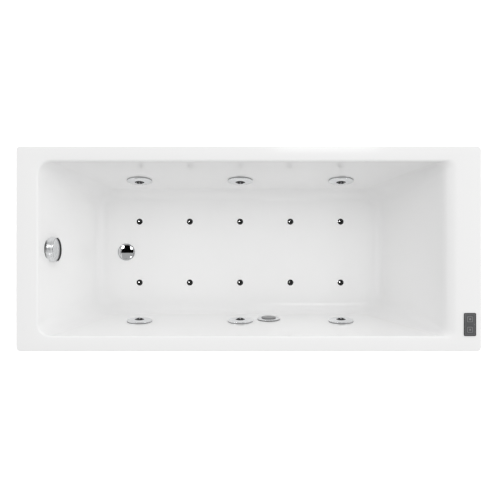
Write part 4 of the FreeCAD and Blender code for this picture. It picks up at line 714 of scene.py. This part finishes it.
JET_X = (-426.5, -33.5, 359.5)
JET_LEVEL = 350.0
SUCTION_X = 78.0
SUCTION_LEVEL = 313.0
OVERFLOW_LEVEL = 505.0
OVERFLOW_TILT = math.radians(10.0)
AIR_MIDDLE = -35.7
AIR_PITCH = 204.75
AIR_Y = 124.0
DRAIN_X = -499.0
KEYPAD_X = 807.7
KEYPAD_Y = -276.6

jet_places = [wall_place(side, x, JET_LEVEL) for side in (1, -1) for x in JET_X]
suction_place = wall_place(-1, SUCTION_X, SUCTION_LEVEL)
overflow_spot = (-drain_wall.reach(OVERFLOW_LEVEL), 0, OVERFLOW_LEVEL)
overflow_wall_place, overflow_place = (
    axes(overflow_spot, (math.cos(tilt), 0, math.sin(tilt)), (0, 1, 0))
    for tilt in (drain_wall.draft, OVERFLOW_TILT))
air_places = [Matrix.Translation((AIR_MIDDLE + AIR_PITCH * step, side * AIR_Y, FLOOR_HEIGHT))
              for side in (1, -1) for step in (-2, -1, 0, 1, 2)]
drain_place = Matrix.Translation((DRAIN_X, 0, FLOOR_HEIGHT))

WALL_HOLE = 26.0
OVERFLOW_HOLE = 22.5
AIR_HOLE = 8.5
DRAIN_HOLE = 24.5
DRILL_REACH = 30.0
KEYPAD_HOLE = (18.05, 37.8)            # half its width and half its length


def drill(radius, place, segments):
    return drum("drill", radius, -DRILL_REACH, DRILL_REACH, place, segments)


shell = make_shell()
drills = [drill(WALL_HOLE, place, 96) for place in jet_places + [suction_place]]
drills.append(drill(OVERFLOW_HOLE, overflow_wall_place, 96))
drills.extend(drill(AIR_HOLE, place, 48) for place in air_places)
drills.append(drill(DRAIN_HOLE, drain_place, 96))
drills.append(block("drill", (KEYPAD_X - KEYPAD_HOLE[0], KEYPAD_Y - KEYPAD_HOLE[1], 550),
                    (KEYPAD_X + KEYPAD_HOLE[0], KEYPAD_Y + KEYPAD_HOLE[1], 600)))
carve(shell, [merged("drills", drills)])
dress(shell, "tub", "acrylic", "acrylic_shell", sharp=30.0)


# ---------------------------------------------------------------- wall jets

def dome(radius, low, crown, steps):
    """Points of a dome from its edge up to the axis."""
    rise = crown - low
    ball = (radius ** 2 + rise ** 2) / (2 * rise)
    edge = math.asin(radius / ball)
    made = []
    for step in range(steps + 1):
        turn = edge * (1 - step / steps)
        made.append((ball * math.sin(turn), crown - ball + ball * math.cos(turn)))
    made[-1] = (0, crown)
    return tuple(made)


FACE_PROFILE = (
    (15.2, -16.4), (21.9, -16.4), (21.9, 2.0), (48.5, 2.0), (48.5, 5.6, 0.7), (43.6, 6.5, 0.8),
    (42.6, 5.7, 0.4), (41.2, 6.2, 0.4), (26.0, 8.8, 3.0), (19.3, 8.8, 0.7), (18.3, 7.6, 0.6),
    (18.05, -14.9), (15.2, -14.9))
# a black ring in the gap behind each rosette: partly a rubber seal, partly painted shade of the gap
SEAL_AND_GAP_SHADE_PROFILE = ((46.0, 0.4), (48.5, 0.4), (48.5, 1.98), (46.0, 1.98))
BALL = 17.7
BALL_FRONT = 11.0
BALL_BACK = -9.0
BALL_STEPS = 24
WAYS = (
    # radius, lower end, distance from the axis, turn of the first of three, segments
    (4.6, -30.0, 8.2, 90, 32),
    (1.9, 4.0, 9.6, 30, 20),
    (1.4, 4.0, 5.2, 30, 20),
)
STUD_BOTTOM = 9.2


def nozzle_profile():
    """A ball cut flat at both ends, with a small raised ring round the middle of its front."""
    low = math.asin(BALL_BACK / BALL)
    high = math.asin(BALL_FRONT / BALL)
    made = [(0, BALL_BACK)]
    for step in range(BALL_STEPS + 1):
        turn = low + (high - low) * step / BALL_STEPS
        made.append((BALL * math.cos(turn), BALL * math.sin(turn)))
    made.extend(((13.2, BALL_FRONT - 0.15), (12.9, BALL_FRONT - 0.7), (2.9, BALL_FRONT - 1.1),
                 (2.5, BALL_FRONT - 0.3), (1.9, BALL_FRONT), (0, BALL_FRONT)))
    return made


for index, place in enumerate(jet_places, start=1):
    face = lathe(f"jet_rosette_{index}", FACE_PROFILE, place, 128, loop=True)
    dress(face, f"face_{index}", "chrome", f"jet_face_{index}")
    # the black ring behind the rosette is partly a seal and partly painted shade of the gap
    seal_and_gap_shade = lathe(f"jet_seal_and_gap_shade_{index}", SEAL_AND_GAP_SHADE_PROFILE, place, 128, loop=True)
    dress(seal_and_gap_shade, f"face_{index}", "seal_rubber")
    centre = place @ Matrix.Translation((0, 0, -0.5))
    ball = lathe(f"jet_ball_{index}", nozzle_profile(), centre, 96)
    ways = []
    for step in range(3):
        for radius, low, reach, first, segments in WAYS:
            ways.append(drum("way", radius, low, DRILL_REACH,
                             turned(centre, first + 120 * step, reach), segments))
    carve(ball, [merged("ways", ways)])
    soften_edges(ball, 0.35, 2, 50.0)
    dress(ball, f"nozzle_{index}", "nozzle_plastic", f"jet_nozzle_{index}", sharp=50.0)
    studs = [lathe("stud", ((0, STUD_BOTTOM), (2.2, STUD_BOTTOM), (2.2, 11.3, 0.9), (0, 11.8)),
                   centre, 24)]
    for step in range(4):
        studs.append(lathe("stud", ((0, STUD_BOTTOM), (1.1, STUD_BOTTOM), (1.1, 11.2, 0.5),
                                    (0, 11.4)), turned(centre, 90 * step, 11.9), 20))
    dress(merged(f"jet_studs_{index}", studs), f"nozzle_{index}", "pipe_plastic")


# ---------------------------------------------------------------- suction fitting

ring = lathe("suction_trim", (
    (24.6, 2.7), (44.5, 2.7), (44.5, 4.0, 0.8), (42.6, 4.6, 0.8),
    (41.4, 4.2, 0.4), (40.0, 5.4, 1.0), (37.0, 6.05, 2.0), (31.0, 6.05, 0.4), (30.2, 5.3, 0.3),
    (25.4, 5.3, 0.4), (24.6, 4.9)), suction_place, 128, loop=True)
dress(ring, "tub", "chrome", "suction_ring")
# A black ring in the gap under the trim: partly a rubber seal, partly painted shade of the gap.
seal_and_gap_shade = lathe("suction_seal_and_gap_shade", ((42.0, 0.25), (44.5, 0.25), (44.5, 2.68), (42.0, 2.68)),
             suction_place, 128, loop=True)
dress(seal_and_gap_shade, "tub", "seal_rubber")
cap = lathe("suction_grille", (
    (0, -9.8), (12.0, -9.8), (21.0, 2.1), (24.2, 2.1), (24.2, 6.2), (28.4, 6.2), (28.4, 8.2, 1.2),
    (24.5, 9.4, 1.0), (21.5, 9.7, 0.3), (20.9, 9.2, 0.3), (20.3, 9.8, 0.3), (9.0, 10.5, 4.0),
    (8.2, 9.9, 0.3), (6.6, 9.9, 0.3), (5.8, 10.6, 0.3), (0, 10.8)), suction_place, 128)
slots = []
for step in range(24):
    start = 21.5 if step % 2 else 24.0
    slots.append(block("slot", (start, -0.9, 6.9), (32.0, 0.9, 9.4),
                       turned(suction_place, 15 * step + 7.5)))
carve(cap, [merged("slots", slots)])
dress(cap, "tub", "grey_plastic", "suction_cover", sharp=35.0)


# ---------------------------------------------------------------- floor air jets

CAP_PROFILE = ((0, -30.0), (5.0, -30.0), (5.0, 0.05), (12.2, 0.05), (12.2, 0.7, 0.3),
               *dome(11.7, 0.8, 6.0, 24))
caps = [lathe("air_cap", CAP_PROFILE, place, 64) for place in air_places]
domes = dress(merged("air_jet_domes", caps), "tub", "chrome", "air_jet_caps")
domes.data.materials[0] = black_chrome()


# ---------------------------------------------------------------- drain and overflow

plug = lathe("plug_dome", (
    (0, -57.6), (3.4, -57.6), (4.0, -57.0), (4.0, 4.45), (30.4, 4.45), (31.5, 5.6, 0.6),
    (31.5, 6.9, 0.9)) + dome(30.9, 7.35, 12.4, 24), drain_place, 128)
dress(plug, "plug", "chrome", "waste_plug")
flange = lathe("drain_trim", (
    (20.0, -33.0), (24.0, -33.0), (24.0, 0.0), (35.0, 0.0), (35.0, 2.1, 1.6), (32.8, 3.0, 1.2),
    (22.4, 3.0, 1.0), (20.0, 0.8, 1.0)), drain_place, 128, loop=True)
hub = [flange, lathe("hub", ((4.05, -31.0), (8.0, -31.0), (8.0, -19.4, 0.8), (4.05, -19.4)),
                     drain_place, 48, loop=True)]
for step in range(3):
    hub.append(block("arm", (7.2, -1.5, -31.0), (21.0, 1.5, -23.0),
                     turned(drain_place, 120 * step)))
dress(merged("drain_flange_trim", hub), "tub", "chrome", "drain_flange")


def behind_the_wall():
    """A cutter for all that would lie in or behind the wall with the overflow."""
    return block("behind", (-140, -140, -140), (140, 140, 0.05), overflow_wall_place)


overflow_satin = satin_chrome()
knob = lathe("knob_disc", (
    (0, -4.9), (4.95, -4.9), (4.95, 12.75), (44.6, 12.75), (44.8, 12.95, 0.15), (44.8, 21.9, 0.7),
    (42.6, 21.9, 0.6), (41.8, 17.3, 0.8), *dome(40.1, 17.2, 17.9, 10)), overflow_place, 144)
notches = [drum("notch", 12.0, 0, 40, turned(overflow_place, degrees, 53.5), 96)
           for degrees in (-8, -172)]
carve(knob, [merged("notches", notches)])
soften_edges(knob, 0.5, 3, 55.0)
dress(knob, "knob", "chrome", "overflow_knob", sharp=55.0)
knob.data.materials[0] = overflow_satin
# Two thin black rings round the knob's front edges: a painted reflection of the unlit ceiling.
painted_dark_rings = [lathe("painted_dark_ring", profile, overflow_place, 144, loop=True) for profile in (
    ((41.3, 17.5), (42.0, 17.5), (42.6, 21.4), (42.0, 21.4)),
    ((44.2, 20.2), (44.86, 20.2), (44.86, 20.9), (44.2, 20.9)))]
dress(merged("knob_painted_dark_rings", painted_dark_rings), "knob", "seal_rubber")

rosette = lathe("overflow_trim", (
    (19.8, -45.0), (47.6, -45.0), (47.6, -9.6, 0.5), (45.0, -3.4, 1.0), (45.0, 12.5, 0.2),
    (5.05, 12.5), (5.05, 7.0), (19.8, 7.0)), overflow_place, 128, loop=True)
inlets = [drum("inlet", 4.0, 0, 30, turned(overflow_place, 60 * step, 12.5), 32)
          for step in range(6)]
carve(rosette, [behind_the_wall(), merged("inlets", inlets)])
dress(rosette, "tub", "chrome", "overflow_rosette")
rosette.data.materials[0] = overflow_satin
# A black ring where the rosette meets the wall: partly a rubber seal, partly painted shade of the
# gap.
seal_and_gap_shade = lathe("overflow_seal_and_gap_shade", ((45.6, -12.0), (48.4, -12.0), (48.4, -7.4, 0.4), (45.6, -7.4)),
             overflow_place, 128, loop=True)
carve(seal_and_gap_shade, [behind_the_wall()])
dress(seal_and_gap_shade, "tub", "seal_rubber")


# ---------------------------------------------------------------- keypad

SLAB_STEPS = 10                        # in each rounded corner of a slab


def slab(name, width, length, corner, bottom, top, x, y):
    """A block with rounded upright edges."""
    outline = []
    for sign_x, sign_y, angle in ((1, -1, 270), (1, 1, 0), (-1, 1, 90), (-1, -1, 180)):
        for step in range(SLAB_STEPS + 1):
            turn = math.radians(angle + 90 * step / SLAB_STEPS)
            outline.append((x + sign_x * (width / 2 - corner) + corner * math.cos(turn),
                            y + sign_y * (length / 2 - corner) + corner * math.sin(turn)))
    count = len(outline)
    points = [(*spot, level) for level in (bottom, top) for spot in outline]
    faces = [tuple(range(count)), tuple(range(count, 2 * count))]
    for step in range(count):
        after = (step + 1) % count
        faces.append((step, after, count + after, count + step))
    return mesh_piece(name, points, faces)


def frame_line(name, width, length, corner, line, bottom, top, x, y):
    """A thin raised outline with rounded corners."""
    outer = slab(name, width, length, corner, bottom, top, x, y)
    carve(outer, [slab("inner", width - line * 2, length - line * 2, max(corner - line, 0.3),
                       bottom - 1, top + 1, x, y)])
    return outer


PLATE_BOTTOM = 590.0
PLATE_TOP = 592.5
BUTTON_TOP = 593.3
BUTTON_Y = 19.2                        # from the middle of the plate
LAMP_BOTTOM = 591.6
CASE_HALF = (17.75, 37.5)
CASE_WALL = 2.0
lamp_place = Matrix.Translation((KEYPAD_X + 17.5, KEYPAD_Y, 0))


def case_corner(sign, inset, level):
    """A corner of the case below the plate: the low one for sign -1, else the high one."""
    return (KEYPAD_X + sign * (CASE_HALF[0] - inset), KEYPAD_Y + sign * (CASE_HALF[1] - inset),
            level)


plate = slab("keypad_cover", 44.5, 84.0, 4.0, PLATE_BOTTOM, PLATE_TOP, KEYPAD_X, KEYPAD_Y)
holes = [slab("hole", 22.6, 22.6, 4.3, 580.0, 600.0, KEYPAD_X, KEYPAD_Y + side * BUTTON_Y)
         for side in (1, -1)]
holes.append(drum("lamp_hole", 1.5, LAMP_BOTTOM, 600, lamp_place, 24))
carve(plate, [merged("holes", holes)])
soften_edges(plate, 0.5, 3, 60.0)
case = block("case", case_corner(-1, 0, 566.0), case_corner(1, 0, PLATE_BOTTOM - 0.1))
carve(case, [block("hollow", case_corner(-1, CASE_WALL, 568.0), case_corner(1, CASE_WALL, 600))])
dress(merged("keypad_panel", [plate, case]), "tub", "keypad_grey", "keypad_plate")
border = frame_line("keypad_edge", 43.4, 82.9, 3.5, 2.6, PLATE_TOP - 0.3, PLATE_TOP + 0.1,
                    KEYPAD_X, KEYPAD_Y)
dress(border, "tub", "black_plastic")
lines = [frame_line("border", 36.5, 76.0, 2.5, 0.8, PLATE_TOP - 0.3, PLATE_TOP + 0.12,
                    KEYPAD_X, KEYPAD_Y),
         drum("lamp", 1.4, LAMP_BOTTOM, PLATE_TOP + 0.15, lamp_place, 24)]
dress(merged("keypad_border", lines), "tub", "grey_plastic")
for index, side in enumerate((1, -1), start=1):
    y = KEYPAD_Y + side * BUTTON_Y
    button = slab(f"button_cap_{index}", 22.0, 22.0, 4.0, 586.5, BUTTON_TOP - 0.1, KEYPAD_X, y)
    dish = slab("dish", 17.0, 17.0, 3.2, BUTTON_TOP - 0.55, 600, KEYPAD_X, y)
    carve(button, [dish])
    soften_edges(button, 0.3, 2, 60.0)
    pad = slab("pad", 12.6, 12.6, 2.4, BUTTON_TOP - 0.8, BUTTON_TOP - 0.1, KEYPAD_X, y)
    soften_edges(pad, 0.25, 2, 60.0)
    dress(merged(f"button_{index}_cap", [button, pad]), f"button_{index}", "keypad_grey",
          f"keypad_button_{index}")
    marks = [frame_line("outer_line", 20.6, 20.6, 3.4, 2.0, BUTTON_TOP - 0.5, BUTTON_TOP,
                        KEYPAD_X, y),
             slab("dot", 6.6, 6.6, 1.6, BUTTON_TOP - 0.6, BUTTON_TOP, KEYPAD_X, y)]
    dress(merged(f"button_{index}_marks", marks), f"button_{index}", "grey_plastic")


# ---------------------------------------------------------------- details of the equipment

def hexagon(name, across, low, high, place):
    """A bolt head or nut with a chamfered end."""
    radius = across / 2 / math.cos(math.pi / 6)
    return lathe(name, ((0, low), (radius, low), (radius, high - 0.8), (radius - 0.8, high),
                        (0, high)), place, 6)


def band(name, inner, outer, low, high, place, segments=72, edge=0.5):
    """A ring about the place's Z axis with softened outer edges."""
    return lathe(name, ((inner, low), (outer, low, edge), (outer, high, edge), (inner, high)),
                 place, segments, loop=True)


def clamp(radius, level, place):
    """A worm-drive clamp round a hose: its band and its screw housing."""
    housing = block("housing", (radius, -5.0, level - 4.5), (radius + 6.0, 5.0, level + 4.5), place)
    soften_edges(housing, 1.2, 3, 50.0)
    along = place @ axes((radius + 3.2, 0, level), (0, 1, 0), (1, 0, 0))
    return [band("clamp_band", radius - 0.3, radius + 0.8, level - 4.0, level + 4.0, place),
            housing, hexagon("screw", 6.0, 5.0, 9.0, along)]


def corners(middle, half, level):
    """Places at the four corners of a level rectangle."""
    return [Matrix.Translation((middle[0] + x * half[0], middle[1] + y * half[1], level))
            for x in (-1, 1) for y in (-1, 1)]


def round_places(place, count, first=0.0, reach=0.0):
    """As many places as count, turned evenly all the way round."""
    return [turned(place, first + 360 / count * step, reach) for step in range(count)]


PUMP_SPOT = (715.0, -60.0, 240.0)
TERMINAL = (716.0, 50.0)
pump_place = axes(PUMP_SPOT, (0, -1, 0), (1, 0, 0))
casing = merged("motor_fins", [
    block("fin", (58.5, -1.1, -184.0), (63.8, 1.1, -14.0), turned(pump_place, -40 + 10 * step))
    for step in range(27)])
soften_edges(casing, 0.5, 2, 60.0)
terminal = [slab("terminal_box", 48.0, 58.0, 5.0, 292.0, 318.0, *TERMINAL),
            slab("terminal_lid", 50.0, 60.0, 6.0, 318.4, 325.0, *TERMINAL)]
for piece in terminal:
    soften_edges(piece, 1.4, 3, 60.0)
terminal.append(slab("terminal_seam", 45.0, 55.0, 4.0, 316.0, 320.0, *TERMINAL))
terminal.append(drum("cable_gland", 8.0, 29.0, 38.0,
                     axes((*TERMINAL, 306.0), (0, 1, 0), (1, 0, 0)), 12))
dress(casing, "tub", "motor_paint")
dress(merged("motor_terminal_box", terminal), "tub", "black_plastic")

bolts = [hexagon("bolt", 9.0, 61.5, 66.0, place)
         for place in round_places(pump_place, 8, 22.5, 64.0)]
bolts.extend(hexagon("screw", 6.0, 0, 1.6, place) for place in corners(TERMINAL, (19, 24), 324.8))
dress(merged("pump_bolts", bolts), "tub", "zinc", sharp=30.0)
outlet_place = Matrix.Translation((665.0, -91.0, 0))
wet_end = [band("volute_flange", 71.0, 75.0, 2.0, 10.0, pump_place, 96, 1.0),
           band("volute_rim", 71.0, 74.0, 52.0, 60.0, pump_place, 96, 1.0),
           band("inlet_nut", 24.5, 31.0, 78.0, 100.0, pump_place, 10, 0.8),
           band("outlet_nut", 21.5, 29.0, 300.0, 322.0, outlet_place, 10, 0.8)]
wet_end.extend(block("rib", (27.0, -1.5, 61.0), (58.0, 1.5, 65.5), place)
               for place in round_places(pump_place, 6))
dress(merged("pump_trim", wet_end), "tub", "black_plastic")

BLOWER_SPOT = (-745.0, 124.0, 161.0)
SPOUT_SPOT = (-745.0, 124.0, 193.0)
blower_place = Matrix.Translation(BLOWER_SPOT)
blower_trim = [band("blower_seam", 69.5, 72.0, 46.0, 52.0, blower_place, 96, 0.8),
               band("blower_foot", 60.0, 72.5, 0.05, 4.0, blower_place, 96, 0.8)]
blower_trim.extend(block("rib", (69.2, -0.9, 53.0), (71.0, 0.9, 66.0), place)
                   for place in round_places(blower_place, 36))
blower_trim.extend(block("rib", (45.0, -1.0, 69.5), (64.0, 1.0, 72.0), place)
                   for place in round_places(blower_place, 16))
dress(merged("blower_ribs", blower_trim), "tub", "black_plastic")
cooling = [band("motor_band", 39.6, 41.0, level, level + 3.0, blower_place)
           for level in (78.0, 86.0, 94.0, 102.0, 110.0)]
dress(merged("blower_motor_bands", cooling), "tub", "motor_paint")
clamps = clamp(14.0, 84.0, axes(SPOUT_SPOT, (1, 0, 0), (0, 1, 0)))
clamps.extend(hexagon("screw", 5.0, 69.8, 72.4, place)
              for place in round_places(blower_place, 6, 11, 66.5))
dress(merged("hose_clamps", clamps), "tub", "zinc", sharp=30.0)

BOX_LOW = (-825.0, -290.0)
BOX_HIGH = (-695.0, -100.0)
BOX_RIB_OUT = 95.4                     # from the box's middle to its ribs, along Y
box_x = (BOX_LOW[0] + BOX_HIGH[0]) / 2
box_y = (BOX_LOW[1] + BOX_HIGH[1]) / 2
lid = slab("control_lid", 131.0, 191.0, 6.0, 309.0, 316.0, box_x, box_y)
soften_edges(lid, 2.0, 3, 60.0)
panel = slab("lid_panel", 100.0, 150.0, 8.0, 315.5, 317.2, box_x, box_y)
soften_edges(panel, 0.8, 2, 60.0)
box_trim = [lid, panel]
for end in (-1, 1):
    y = box_y + end * BOX_RIB_OUT
    for step in range(7):
        x = box_x - 48 + 16 * step
        box_trim.append(block("rib", (x - 1.5, y - 1, 175.0), (x + 1.5, y + 1, 285.0)))
dress(merged("control_box_lid", box_trim), "tub", "box_plastic")
gland_place = axes((BOX_LOW[0], box_y, 211.0), (-1, 0, 0), (0, 1, 0))
gland = [band("gland_nut", 10.5, 13.5, 2.0, 9.0, gland_place, 6, 0.6),
         frame_line("lid_seal", 131.2, 191.2, 6.0, 2.0, 307.4, 308.9, box_x, box_y)]
dress(merged("control_box_trim", gland), "tub", "black_plastic")

FRAME_BOLT_X = 600.0
FRAME_BOLT_LEVELS = (113.0, 560.0)
FRAME_SIDE_Y = 349.0
screws = []
for place in corners((box_x, box_y), (57, 87), 315.0):
    screw = lathe("screw", ((0, 0), (4.0, 0), (4.0, 1.6, 0.6), (0, 2.2)), place, 32)
    carve(screw, [block("slot", (-3.4, -0.5, 1.2), (3.4, 0.5, 4.0), place),
                  block("slot", (-0.5, -3.4, 1.2), (0.5, 3.4, 4.0), place)])
    screws.append(screw)
for x in (-FRAME_BOLT_X, FRAME_BOLT_X):
    for side in (-1, 1):
        for level in FRAME_BOLT_LEVELS:
            spot = axes((x, side * FRAME_SIDE_Y, level), (0, side, 0), (1, 0, 0))
            screws.append(hexagon("bolt", 13.0, 1.2, 6.5, spot))
            screws.append(drum("washer", 10.5, -0.3, 1.4, spot, 40))
dress(merged("frame_bolts", screws), "tub", "zinc", sharp=30.0)


# ---------------------------------------------------------------- which lights reach what

# The glints would show as white blotches in the basin, so their receivers leave out the shell.
not_for_acrylic = bpy.data.collections.new("not_for_acrylic")
not_for_acrylic.objects.link(shell)
not_for_acrylic.collection_objects[0].light_linking.link_state = "EXCLUDE"
for light in glints:
    light.light_linking.receiver_collection = not_for_acrylic

# The strongest one shines on the air jet domes and on nothing else.
small_glints = bpy.data.collections.new("small_glints")
small_glints.objects.link(domes)
cap_glint.light_linking.receiver_collection = small_glints


# ---------------------------------------------------------------- floor

FLOOR_CORNERS = ((-6, -6, 0), (6, -6, 0), (6, 6, 0), (-6, 6, 0))       # in metres
FLOOR_GLOW = 0.7                       # lifts the floor towards the backdrop's white
floor_mesh = bpy.data.meshes.new("floor")
floor_mesh.from_pydata(FLOOR_CORNERS, [], [(0, 1, 2, 3)])
floor = bpy.data.objects.new("floor", floor_mesh)
scene.collection.objects.link(floor)
floor_finish = Finish("floor_pale", (0.92, 0.92, 0.92), 0.8)
floor_finish.shader.inputs["Emission Color"].default_value = (1, 1, 1, 1)
floor_finish.shader.inputs["Emission Strength"].default_value = FLOOR_GLOW
floor_mesh.materials.append(floor_finish.material)
